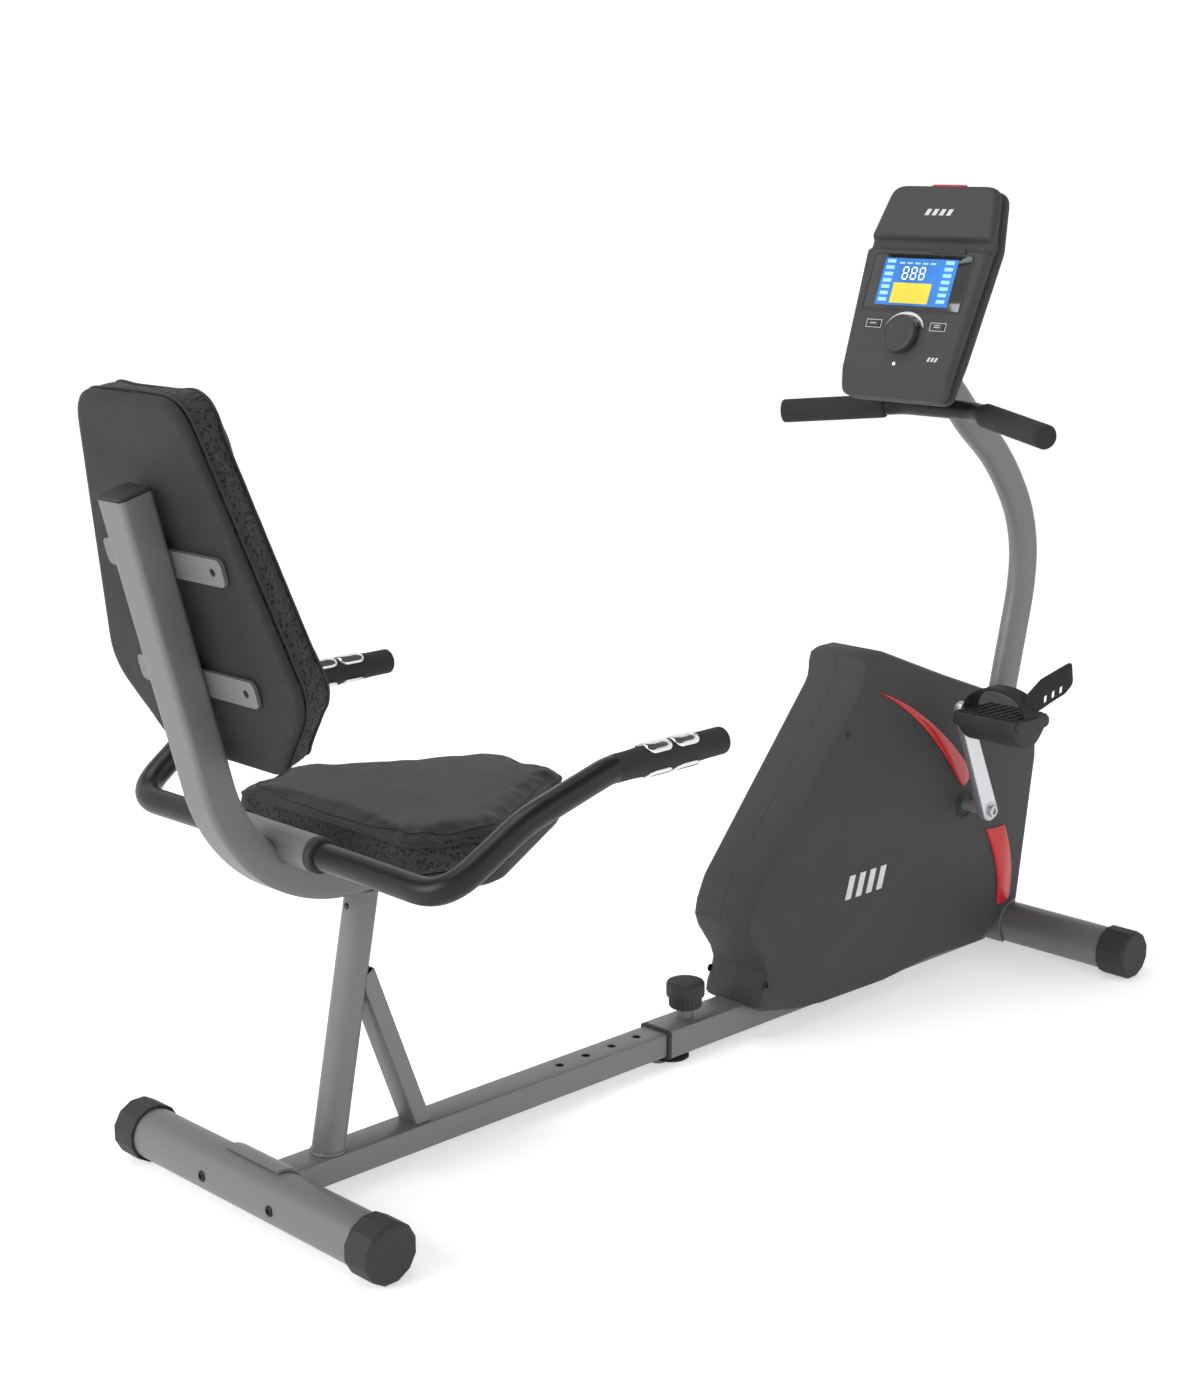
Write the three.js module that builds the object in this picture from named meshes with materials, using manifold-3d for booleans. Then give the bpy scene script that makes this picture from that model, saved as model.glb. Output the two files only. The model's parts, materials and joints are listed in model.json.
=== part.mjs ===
// Recumbent exercise bike: a console and flywheel unit in front, and a seat frame behind
// that slides on a perforated beam.  Millimetres, +X forward, +Y to the rider's left, +Z up.
// The pieces are laid out from the middle of the rear stabiliser on the floor, and the whole
// group is then moved so that its origin is the middle of its footprint.
import * as THREE from "three";
import { mergeVertices } from "three/addons/utils/BufferGeometryUtils.js";
import Module from "manifold-3d";

// ---------------------------------------------------------------- driving dimensions
const WHEELBASE = 1338; // rear stabiliser to front stabiliser
const GAP = 0.4; // left between pieces that touch
const RUNNING = 0.8; // left around pieces that turn

// stabilisers and their end caps
const STABILISER_R = 30;
const STABILISER_WALL = 2;
const REAR_WIDTH = 470; // over the caps
const FRONT_WIDTH = 517;
const CAP_WALL = 3.1; // at the middle of each flat of the twelve-sided caps
const CAP_SIDES = 12;
const CAP_END = 5; // thickness of a cap's end wall
const REAR_CAP_LENGTH = 39;
const FRONT_CAP_LENGTH = 44;
const SADDLE_WALL = 4;
const SADDLE_LENGTH = 96;

// sliding beam and the sleeve that it slides in
const BEAM_WIDTH = 44;
const BEAM_HEIGHT = 32;
const BEAM_WALL = 2;
const BEAM_BOTTOM = 12;
const SLIDE_CLEARANCE = 1;
const SLEEVE_WALL = 2.2;
const SLEEVE_REACH = 704; // sleeve mouth behind the front stabiliser
const SLEEVE_RING = 6;
const PIN_FROM_MOUTH = 51;
const PIN_R = 4.6;
const HOLE_R = 5.6;
const HOLE_PITCH = 45;
const HOLES_BEHIND_PIN = 5;
const HOLES_AHEAD_OF_PIN = 1;
const BEAM_ENGAGED = 190; // beam inside the sleeve ahead of the pin
const KNOB_R = 25;
const KNOB_HEIGHT = 37;
const BOSS_R = 11;
const BOSS_HEIGHT = 12;
const FOOT_R = 24;
const FOOT_THICKNESS = 5;
const FOOT_FROM_MOUTH = 24;
const FOOT_STEM_R = 8;

// seat frame
const POST_R = 19;
const POST_WALL = 2;
const POST_FOOT_X = 99;
const POST_LEAN = 0.193; // forward run for each unit of height
const BRACE_DEPTH = 22;
const BRACE_WIDTH = 34;
const BRACE_FOOT_X = 227;
const BRACE_LEAN = -0.385;
const BRACE_TOP = 246;
const BRACE_WALL = 2;
const SPINE_WIDTH = 44;
const SPINE_DEPTH = 40;
const SPINE_WALL = 2;
const SPINE_LEAN = THREE.MathUtils.degToRad(15.2);
const SPINE_BEND = 180; // centreline radius
const SPINE_BEND_X = 130; // where the bend meets the seat rail
const SEAT_RAIL_Z = 363; // centreline height of the seat rail
const SEAT_RAIL_END = 300;
const SPINE_STRAIGHT = 328; // straight length above the bend

// seat, back and their mountings
const SEAT_PAN = 16; // above the rail
const PAN_SKIRT = 14; // how far the pan reaches down each side of the rail
const SEAT_TOP = 446;
const SEAT_REAR = 90;
const SEAT_FRONT = 426;
const SEAT_HALF_REAR = 156;
const SEAT_HALF_WIDE = 196;
const SEAT_HALF_FRONT = 62;
const SEAT_WIDEST_AT = 114; // ahead of the rear edge
const PAN_INSET = 10;
const BACK_FOOT = 14; // lowest point of the back cushion above the start of the straight spine
const BACK_HEIGHT = 412;
const BACK_HALF_TOP = 92;
const BACK_HALF_WIDE = 173;
const BACK_HALF_FOOT = 96;
const BACK_WIDEST_AT = 92; // height of the widest point above the foot of the cushion
const BACK_THICKNESS = 49;
const BACK_BOARD = 8;
const BOARD_INSET = 9;
const BRACKET_THICKNESS = 5;
const BRACKET_HEIGHT = 30;
const BRACKET_LENGTH = 206;
const BRACKET_HOLE_R = 4.5;
const BRACKET_HOLE_Y = 86;
const BRACKET_HEIGHTS = { upper: 247, lower: 114 };

// seat handlebar
const SEAT_BAR_R = 15.5;
const SEAT_BAR_WALL = 2.5;
const BAR_SLEEVE_WALL = 4;
const BAR_SLEEVE_LENGTH = 132;
const BAR_SLEEVE_LET_IN = 11; // depth that it is let into the spine's bend
const SEAT_GRIP_HALF = 287;
const SEAT_GRIP_Z = 514;
const SEAT_GRIP_TIP = 434;
const SENSOR_LENGTH = 62;
const SENSOR_WIDTH = 24;
const SENSOR_FROM_TIP = 62;

// mast, front handlebar
const MAST_DEPTH = 47;
const MAST_WIDTH = 30;
const MAST_WALL = 2;
const MAST_FOOT_BACK = 57; // behind the front stabiliser
const FRONT_BAR_R = 13;
const FRONT_GRIP_WALL = 3.1;
const FRONT_BAR_HALF = 224;
const FRONT_BAR_Z = 784;
const FRONT_BAR_RISE = 16; // the middle is higher than the ends
const FRONT_BAR_SWEEP = 66; // and further ahead of them
const FRONT_BAR_BACK = 221; // bar ends behind the front stabiliser
const FRONT_BAR_KNEE = 60; // half the straight middle run
const FRONT_BAR_WALL = 2;
const FRONT_GRIP_LENGTH = 150;

// flywheel unit
const AXLE_FROM_FRONT = 134; // crank axle behind the front stabiliser
const AXLE_Z = 241;
const AXLE_R = 8;
const BEARING_SHELL_R = 19;
const PULLEY_R = 90;
const PULLEY_Y = 29;
const PULLEY_WIDTH = 14;
const BELT_THICKNESS = 3;
const BELT_WIDTH = 10;
const FLYWHEEL_BACK = 279; // flywheel axle behind the crank axle
const FLYWHEEL_Z = 190;
const FLYWHEEL_R = 114;
const FLYWHEEL_WIDTH = 26;
const FLYWHEEL_Y = -6;
const FLYWHEEL_AXLE_R = 6;
const SMALL_PULLEY_R = 20;
const BRACKET_PLATE = 4;
const BRACKET_HALF = 42;
const BRACKET_FOOT = 60;

// cranks and pedals
const CRANK_LENGTH = 170;
const CRANK_ANGLE = THREE.MathUtils.degToRad(113.6); // right crank from straight ahead
const CRANK_Y = 98; // outer face of a crank
const CRANK_THICKNESS = 12;
const CRANK_HUB_R = 15;
const CRANK_EYE_R = 12;
const SPINDLE_R = 6;
const PEDAL_GAP = 6;
const PEDAL_WIDTH = 104;
const PEDAL_HALF_LENGTH = 41;
const PEDAL_THICKNESS = 20;
const STRAP_THICKNESS = 3;
const STRAP_WIDTH = 30;
const STRAP_RISE = 34;

// housing
const HOUSING_HALF = 52;
const HOUSING_BEVEL = 12;
const HOUSING_WALL = 3;
const HOUSING_PORT_R = 17;
const FLYWHEEL_ROOM = 67; // housing's rearmost point behind the flywheel's rim
const ACCENT_THICKNESS = 2.5;

// console
const CONSOLE_LEAN = THREE.MathUtils.degToRad(22);
const CONSOLE_BEHIND = 271; // lower edge of the rear-facing panel, behind the front stabiliser
const CONSOLE_FOOT_Z = 826;
const CONSOLE_HEIGHT = 297;
const CONSOLE_HALF_FOOT = 90;
const CONSOLE_HALF_WIDE = 104;
const CONSOLE_HALF_TOP = 88;
const CONSOLE_DEPTH = 20; // of each of its two shells
const CONSOLE_WALL = 3;
const LENS_WIDTH = 162;
const LENS_HEIGHT = 78;
const LENS_AT = 158; // middle of the lens above the lower edge
const DIAL_R = 26;
const DIAL_AT = 84;
const DIAL_DEPTH = 12;
const DIAL_STEM_R = 6;
const BUTTON_SIZE = [22, 9];
const BUTTON_Y = 54;
const BUTTON_DEPTH = 5;
const BUTTON_ABOVE_DIAL = 14;
const TOP_BUTTON = [58, 20];
const TOP_BUTTON_FROM_FACE = 10;

// ---------------------------------------------------------------- geometry helpers
const wasm = await Module();
wasm.setup();

const ROUND = 20; // sides of a large round
const TUBE = 12; // sides of a small round

// A closed three.js geometry as a solid that can be cut and joined.
function solid(geometry) {
  const bare = geometry.clone();
  bare.deleteAttribute("normal");
  bare.deleteAttribute("uv");
  const merged = mergeVertices(bare, 1e-3);
  return new wasm.Manifold(
    new wasm.Mesh({
      numProp: 3,
      vertProperties: new Float32Array(merged.attributes.position.array),
      triVerts: new Uint32Array(merged.index.array),
    }),
  );
}

// A solid back as a three.js geometry.
function geometryOf(body) {
  const { vertProperties, triVerts } = body.getMesh();
  const geometry = new THREE.BufferGeometry();
  geometry.setAttribute("position", new THREE.BufferAttribute(new Float32Array(vertProperties), 3));
  geometry.setIndex(new THREE.BufferAttribute(new Uint32Array(triVerts), 1));
  geometry.computeVertexNormals();
  return geometry;
}

// A path along the given [x, z] or [x, y] points; a point with a third value is rounded
// by a curve that leaves each side where an arc of that radius would.
function outline(points) {
  const path = new THREE.Shape();
  const n = points.length;
  points.forEach(([x, y, radius = 0], i) => {
    const before = new THREE.Vector2(...points[(i + n - 1) % n]);
    const after = new THREE.Vector2(...points[(i + 1) % n]);
    const here = new THREE.Vector2(x, y);
    if (!radius) {
      if (i) path.lineTo(x, y);
      else path.moveTo(x, y);
      return;
    }
    const back = before.sub(here).normalize();
    const on = after.sub(here).normalize();
    const half = Math.acos(THREE.MathUtils.clamp(back.dot(on), -1, 1)) / 2;
    const reach = radius / Math.tan(half);
    const start = here.clone().addScaledVector(back, reach);
    const end = here.clone().addScaledVector(on, reach);
    if (i) path.lineTo(start.x, start.y);
    else path.moveTo(start.x, start.y);
    path.quadraticCurveTo(x, y, end.x, end.y);
  });
  path.closePath();
  return path;
}

// The same corner points moved inwards by a wall, for points listed clockwise or not.
function insetOf(points, wall) {
  const corners = points.map(([x, y]) => new THREE.Vector2(x, y));
  const n = corners.length;
  const turn = Math.sign(THREE.ShapeUtils.area(corners));
  return points.map(([, , radius = 0], i) => {
    const here = corners[i];
    const into = here.clone().sub(corners[(i + n - 1) % n]).normalize();
    const out = corners[(i + 1) % n].clone().sub(here).normalize();
    const normals = [into, out].map((v) => new THREE.Vector2(-v.y, v.x).multiplyScalar(turn));
    const bisector = normals[0].clone().add(normals[1]);
    const reach = (2 * wall) / bisector.lengthSq();
    const moved = here.clone().addScaledVector(bisector, reach);
    return [moved.x, moved.y, Math.max(radius - wall, 0)];
  });
}

// A rounded rectangle about the origin.
function roundedRect(width, height, radius) {
  const [w, h] = [width / 2, height / 2];
  return outline([
    [-w, -h, radius],
    [w, -h, radius],
    [w, h, radius],
    [-w, h, radius],
  ]);
}

// A regular polygon that stands for a round section.
function roundSection(radius, sides = TUBE) {
  const shape = new THREE.Shape();
  for (let i = 0; i < sides; i++) {
    const a = ((i + 0.5) / sides) * 2 * Math.PI;
    if (i) shape.lineTo(radius * Math.cos(a), radius * Math.sin(a));
    else shape.moveTo(radius * Math.cos(a), radius * Math.sin(a));
  }
  shape.closePath();
  return shape;
}

// The same section with a hole: the wall of a tube.
function wallOf(outer, inner) {
  outer.holes.push(inner);
  return outer;
}

// A flat outline thickened along +Z from z0 to z1, with bevelled edges inside that height.
function slab(shape, z0, z1, bevel = 0, { segments = 2, curve = 4 } = {}) {
  const geometry = new THREE.ExtrudeGeometry(shape, {
    depth: z1 - z0 - 2 * bevel,
    bevelEnabled: bevel > 0,
    bevelThickness: bevel,
    bevelSize: bevel,
    bevelOffset: -bevel,
    bevelSegments: segments,
    curveSegments: curve,
    steps: 1,
  });
  return geometry.translate(0, 0, z0 + bevel);
}

// An outline drawn in x and z, thickened along Y.
function sideSlab(shape, y0, y1, bevel = 0, options = {}) {
  return slab(shape, -y1, -y0, bevel, options).rotateX(Math.PI / 2);
}

// A section carried along a path.
function sweep(section, path, steps) {
  return new THREE.ExtrudeGeometry(section, { extrudePath: path, steps, curveSegments: 2 });
}

// A solid of revolution about +Z from a profile of [radius, z] that goes up its outer side.
function turned(profile, sides = ROUND) {
  const points = profile.map(([r, z]) => new THREE.Vector2(r, z));
  if (profile[0][0] > 0) points.push(points[0].clone());
  return new THREE.LatheGeometry(points, sides).rotateX(Math.PI / 2);
}

const alongY = (geometry) => geometry.rotateX(-Math.PI / 2);
const alongX = (geometry) => geometry.rotateY(Math.PI / 2);
const disc = (r, z0, z1, sides = ROUND) => turned([[0, z0], [r, z0], [r, z1], [0, z1]], sides);
const ring = (r, bore, z0, z1, sides = ROUND) =>
  turned([[bore, z0], [r, z0], [r, z1], [bore, z1]], sides);

function block(x0, x1, y0, y1, z0, z1) {
  const box = new THREE.BoxGeometry(x1 - x0, y1 - y0, z1 - z0);
  return box.translate((x0 + x1) / 2, (y0 + y1) / 2, (z0 + z1) / 2);
}

// A path of straight runs with an arc of the given radius at each inner point.
function bentPath(points, radii) {
  const path = new THREE.CurvePath();
  let start = points[0].clone();
  for (let i = 1; i < points.length - 1; i++) {
    const back = points[i - 1].clone().sub(points[i]).normalize();
    const on = points[i + 1].clone().sub(points[i]).normalize();
    const reach = radii[i - 1] / Math.tan(back.angleTo(on) / 2);
    const into = points[i].clone().addScaledVector(back, reach);
    const out = points[i].clone().addScaledVector(on, reach);
    path.add(new THREE.LineCurve3(start, into));
    path.add(new THREE.QuadraticBezierCurve3(into, points[i].clone(), out));
    start = out;
  }
  path.add(new THREE.LineCurve3(start, points[points.length - 1].clone()));
  return path;
}

const at = (x, y, z) => new THREE.Vector3(x, y, z);

// ---------------------------------------------------------------- finishes and assembly
const finish = (color, roughness, metalness) => ({ color, roughness, metalness });
const FRAME_PAINT = finish(0x5b5b5d, 0.42, 0.55);
const HOUSING_PLASTIC = finish(0x2b2b2d, 0.6, 0);
const CAP_PLASTIC = finish(0x1b1b1c, 0.55, 0);
const FOAM = finish(0x19191a, 0.8, 0);
const VINYL = finish(0x1c1c1e, 0.7, 0);
const BOARD = finish(0x141414, 0.9, 0);
const STEEL = finish(0xb9bcc0, 0.3, 0.9);
const CAST_IRON = finish(0x4a4c50, 0.5, 0.8);
const RED = finish(0xb5161d, 0.25, 0);
const RUBBER = finish(0x111111, 0.85, 0);
const LENS = finish(0x16356b, 0.12, 0);
const GREY_PLASTIC = finish(0x77797c, 0.45, 0);

const bike = new THREE.Group();

function add(name, body, look, parent = bike) {
  const geometry = body instanceof THREE.BufferGeometry ? body : geometryOf(body);
  const mesh = new THREE.Mesh(geometry, new THREE.MeshStandardMaterial(look));
  mesh.name = name;
  parent.add(mesh);
  return mesh;
}

const AXIS_Z = STABILISER_R + GAP + CAP_WALL; // stabiliser axis above the floor
const SIDES = { left: 1, right: -1 };

// ---------------------------------------------------------------- stabilisers
function stabiliser(prefix, x, width, capLength) {
  const end = width / 2 - CAP_END - GAP;
  const tube = ring(STABILISER_R, STABILISER_R - STABILISER_WALL, -end, end);
  add(`${prefix}_stabiliser_tube`, alongY(tube).translate(x, 0, AXIS_Z), FRAME_PAINT);
  const capR = AXIS_Z / Math.cos(Math.PI / CAP_SIDES);
  for (const [side, sign] of Object.entries(SIDES)) {
    const outer = alongY(
      turned([[0, 0], [capR, 0], [capR, capLength - 4], [capR - 4, capLength], [0, capLength]],
        CAP_SIDES).rotateZ(Math.PI / CAP_SIDES),
    );
    const bore = alongY(disc(STABILISER_R + GAP, -1, capLength - CAP_END));
    const cap = geometryOf(solid(outer).subtract(solid(bore)));
    if (sign < 0) cap.rotateZ(Math.PI);
    cap.translate(x, sign * (width / 2 - capLength), AXIS_Z);
    add(`${prefix}_cap_${side}`, cap, CAP_PLASTIC);
  }
}

// A curved plate that joins a stabiliser to the member that meets it: facing +1 ahead or -1
// behind the tube.
function saddle(name, x, facing) {
  const inner = STABILISER_R + GAP;
  const outer = inner + SADDLE_WALL;
  const shape = new THREE.Shape();
  const from = THREE.MathUtils.degToRad(-52);
  const to = THREE.MathUtils.degToRad(100);
  shape.absarc(0, 0, outer, from, to, false);
  shape.absarc(0, 0, inner, to, from, true);
  shape.closePath();
  const half = SADDLE_LENGTH / 2;
  const plate = sideSlab(shape, -half, half, 0, { curve: 8 });
  if (facing < 0) plate.rotateZ(Math.PI);
  add(name, plate.translate(x, 0, AXIS_Z), FRAME_PAINT);
}

stabiliser("rear", 0, REAR_WIDTH, REAR_CAP_LENGTH);
stabiliser("front", WHEELBASE, FRONT_WIDTH, FRONT_CAP_LENGTH);
saddle("rear_saddle", 0, 1);
saddle("front_saddle", WHEELBASE, -1);
const SADDLE_REACH = STABILISER_R + GAP + SADDLE_WALL + GAP;

// ---------------------------------------------------------------- sliding beam and sleeve
const BEAM_MID = BEAM_BOTTOM + BEAM_HEIGHT / 2;
const BEAM_TOP = BEAM_BOTTOM + BEAM_HEIGHT;
const SLEEVE_WIDTH = BEAM_WIDTH + 2 * (SLIDE_CLEARANCE + SLEEVE_WALL);
const SLEEVE_HEIGHT = BEAM_HEIGHT + 2 * (SLIDE_CLEARANCE + SLEEVE_WALL);
const SLEEVE_TOP = BEAM_MID + SLEEVE_HEIGHT / 2;
const SLEEVE_MOUTH = WHEELBASE - SLEEVE_REACH;
const PIN_X = SLEEVE_MOUTH + PIN_FROM_MOUTH;

// A rectangular tube along X.
function boxTube(width, height, wall, x0, x1) {
  const section = wallOf(
    roundedRect(height, width, 4),
    roundedRect(height - 2 * wall, width - 2 * wall, 2),
  );
  return alongX(slab(section, x0, x1, 0, { curve: 2 })).translate(0, 0, BEAM_MID);
}

function slideBeam() {
  let beam = solid(boxTube(BEAM_WIDTH, BEAM_HEIGHT, BEAM_WALL, SADDLE_REACH, PIN_X + BEAM_ENGAGED));
  for (let i = -HOLES_BEHIND_PIN; i <= HOLES_AHEAD_OF_PIN; i++) {
    const drill = disc(HOLE_R, BEAM_TOP - 2 * BEAM_WALL, BEAM_TOP + 1, TUBE);
    beam = beam.subtract(solid(drill.translate(PIN_X + i * HOLE_PITCH, 0, 0)));
  }
  add("slide_beam", beam, FRAME_PAINT);
}

function sleeve() {
  const tube = boxTube(SLEEVE_WIDTH, SLEEVE_HEIGHT, SLEEVE_WALL, SLEEVE_MOUTH,
    WHEELBASE - SADDLE_REACH);
  const boss = disc(BOSS_R, SLEEVE_TOP - 1, SLEEVE_TOP + BOSS_HEIGHT, TUBE).translate(PIN_X, 0, 0);
  const bore = disc(PIN_R + RUNNING, SLEEVE_TOP - 5, SLEEVE_TOP + BOSS_HEIGHT + 1, TUBE);
  add("sleeve_tube", solid(tube).add(solid(boss)).subtract(solid(bore.translate(PIN_X, 0, 0))),
    FRAME_PAINT);
  const mouth = wallOf(
    roundedRect(SLEEVE_HEIGHT, SLEEVE_WIDTH, 4),
    roundedRect(BEAM_HEIGHT + 2 * GAP, BEAM_WIDTH + 2 * GAP, 4),
  );
  const collar = alongX(slab(mouth, -SLEEVE_RING, -GAP, 0, { curve: 2 }));
  add("sleeve_ring", collar.translate(SLEEVE_MOUTH, 0, BEAM_MID), CAP_PLASTIC);
}

function pullKnob() {
  const foot = SLEEVE_TOP + BOSS_HEIGHT + GAP;
  const tip = BEAM_TOP - BEAM_WALL - 4;
  const knob = turned([
    [0, tip],
    [PIN_R, tip],
    [PIN_R, foot],
    [BOSS_R + 5, foot],
    [KNOB_R - 3, foot + 5],
    [KNOB_R, foot + 9],
    [KNOB_R, foot + KNOB_HEIGHT - 4],
    [KNOB_R - 3, foot + KNOB_HEIGHT],
    [0, foot + KNOB_HEIGHT],
  ]);
  add("pull_knob", knob.translate(PIN_X, 0, 0), CAP_PLASTIC);
}

function levellingFoot() {
  const bottom = BEAM_MID - SLEEVE_HEIGHT / 2;
  const foot = turned([
    [0, 0],
    [FOOT_R, 0],
    [FOOT_R, FOOT_THICKNESS - 2],
    [FOOT_R - 6, FOOT_THICKNESS],
    [FOOT_STEM_R, FOOT_THICKNESS],
    [FOOT_STEM_R, bottom - GAP],
    [0, bottom - GAP],
  ]);
  add("levelling_foot", foot.translate(SLEEVE_MOUTH + FOOT_FROM_MOUTH, 0, 0), RUBBER);
}

slideBeam();
sleeve();
pullKnob();
levellingFoot();

// ---------------------------------------------------------------- seat frame
const RAIL_BOTTOM = SEAT_RAIL_Z - SPINE_DEPTH / 2;
const RAIL_TOP = SEAT_RAIL_Z + SPINE_DEPTH / 2;
const BEND_CENTRE = at(SPINE_BEND_X, 0, SEAT_RAIL_Z + SPINE_BEND);
// Where the straight spine starts, and its direction.
const SPINE_FOOT = at(
  BEND_CENTRE.x - SPINE_BEND * Math.cos(SPINE_LEAN),
  0,
  BEND_CENTRE.z - SPINE_BEND * Math.sin(SPINE_LEAN),
);
const SPINE_UP = at(-Math.sin(SPINE_LEAN), 0, Math.cos(SPINE_LEAN));
// The seat handlebar's cross run lies in a short sleeve let into the inside of the bend.
const BAR_SLEEVE_R = SEAT_BAR_R + GAP + BAR_SLEEVE_WALL;
const INTO_BEND = SPINE_BEND - SPINE_DEPTH / 2 - BAR_SLEEVE_R + BAR_SLEEVE_LET_IN;
const BAR_ANGLE = THREE.MathUtils.degToRad(55.5);
const BAR_AT = at(
  BEND_CENTRE.x - INTO_BEND * Math.cos(BAR_ANGLE),
  0,
  BEND_CENTRE.z - INTO_BEND * Math.sin(BAR_ANGLE),
);

const postAxisX = (z) => POST_FOOT_X + (z - BEAM_TOP) * POST_LEAN;

// A round bar along the seat post's axis, from below the beam's top to above the rail's foot.
function postBar(radius, sides = ROUND) {
  const from = at(postAxisX(BEAM_TOP - 30), 0, BEAM_TOP - 30);
  const to = at(postAxisX(RAIL_BOTTOM + 30), 0, RAIL_BOTTOM + 30);
  const length = to.distanceTo(from);
  const turn = new THREE.Quaternion().setFromUnitVectors(at(0, 0, 1), to.sub(from).normalize());
  return disc(radius, 0, length, sides).applyQuaternion(turn).translate(from.x, 0, from.z);
}

function seatPost() {
  const between = block(0, 400, -50, 50, BEAM_TOP + GAP, RAIL_BOTTOM - GAP);
  const tube = solid(postBar(POST_R)).subtract(solid(postBar(POST_R - POST_WALL)));
  add("seat_post", tube.intersect(solid(between)), FRAME_PAINT);
}

function seatBrace() {
  const foot = at(BRACE_FOOT_X - 30 * BRACE_LEAN, 0, BEAM_TOP - 30);
  const head = at(BRACE_FOOT_X + (BRACE_TOP - BEAM_TOP) * BRACE_LEAN, 0, BRACE_TOP);
  const length = head.distanceTo(foot);
  const turn = new THREE.Quaternion().setFromUnitVectors(at(0, 0, 1), head.sub(foot).normalize());
  const section = wallOf(
    roundedRect(BRACE_DEPTH, BRACE_WIDTH, 3),
    roundedRect(BRACE_DEPTH - 2 * BRACE_WALL, BRACE_WIDTH - 2 * BRACE_WALL, 1.5),
  );
  const bar = slab(section, 0, length, 0, { curve: 2 }).applyQuaternion(turn);
  bar.translate(foot.x, 0, foot.z);
  const below = block(0, 500, -50, 50, -100, BEAM_TOP + GAP);
  const brace = solid(bar).subtract(solid(below)).subtract(solid(postBar(POST_R + GAP)));
  add("seat_brace", brace, FRAME_PAINT);
}

const SPINE_STEPS = 26;

function spinePath() {
  const path = new THREE.CurvePath();
  const top = SPINE_FOOT.clone().addScaledVector(SPINE_UP, SPINE_STRAIGHT);
  path.add(new THREE.LineCurve3(top, SPINE_FOOT));
  const bend = [];
  for (let i = 0; i <= 6; i++) {
    const a = SPINE_LEAN + ((Math.PI / 2 - SPINE_LEAN) * i) / 6;
    bend.push(at(-Math.cos(a), 0, -Math.sin(a)).multiplyScalar(SPINE_BEND).add(BEND_CENTRE));
  }
  for (let i = 1; i < bend.length; i++) path.add(new THREE.LineCurve3(bend[i - 1], bend[i]));
  path.add(new THREE.LineCurve3(bend[6], at(SEAT_RAIL_END, 0, SEAT_RAIL_Z)));
  return path;
}

function spine() {
  const section = wallOf(
    roundedRect(SPINE_WIDTH, SPINE_DEPTH, 5),
    roundedRect(SPINE_WIDTH - 2 * SPINE_WALL, SPINE_DEPTH - 2 * SPINE_WALL, 0),
  );
  const bed = alongY(disc(BAR_SLEEVE_R + GAP, -SPINE_WIDTH, SPINE_WIDTH));
  const notch = solid(bed.translate(BAR_AT.x, 0, BAR_AT.z));
  add("back_spine", solid(sweep(section, spinePath(), SPINE_STEPS)).subtract(notch), FRAME_PAINT);
}

seatPost();
seatBrace();
spine();

// ---------------------------------------------------------------- seat
function seat() {
  const shape = (inset) => {
    const rear = SEAT_REAR + inset;
    const front = SEAT_FRONT - inset;
    const wide = SEAT_HALF_WIDE - inset;
    const nose = SEAT_HALF_FRONT - inset / 2;
    const middle = SEAT_REAR + SEAT_WIDEST_AT;
    const half = [
      [rear, SEAT_HALF_REAR - inset, 38],
      [middle, wide, 60],
      [front, nose, 55],
    ];
    return outline([...half.map(([x, y, r]) => [x, -y, r]), ...half.reverse()]);
  };
  const panTop = RAIL_TOP + GAP + SEAT_PAN;
  const panFoot = RAIL_TOP + GAP - PAN_SKIRT;
  const pan = solid(slab(shape(PAN_INSET), panFoot, panTop, 6, { segments: 1, curve: 3 }));
  const railRoom = roundedRect(SPINE_WIDTH + 2 * GAP, SPINE_DEPTH + 2 * GAP, 5);
  add("seat_pan", pan.subtract(solid(sweep(railRoom, spinePath(), SPINE_STEPS))), BOARD);
  add("seat_cushion", slab(shape(0), panTop + GAP, SEAT_TOP, 12, { segments: 2, curve: 4 }), VINYL);
}

// ---------------------------------------------------------------- backrest
// A group whose +Z runs up the spine and whose +X faces the rider's back.
const back = new THREE.Group();
back.position.copy(SPINE_FOOT);
back.rotation.y = -SPINE_LEAN;
bike.add(back);

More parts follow.
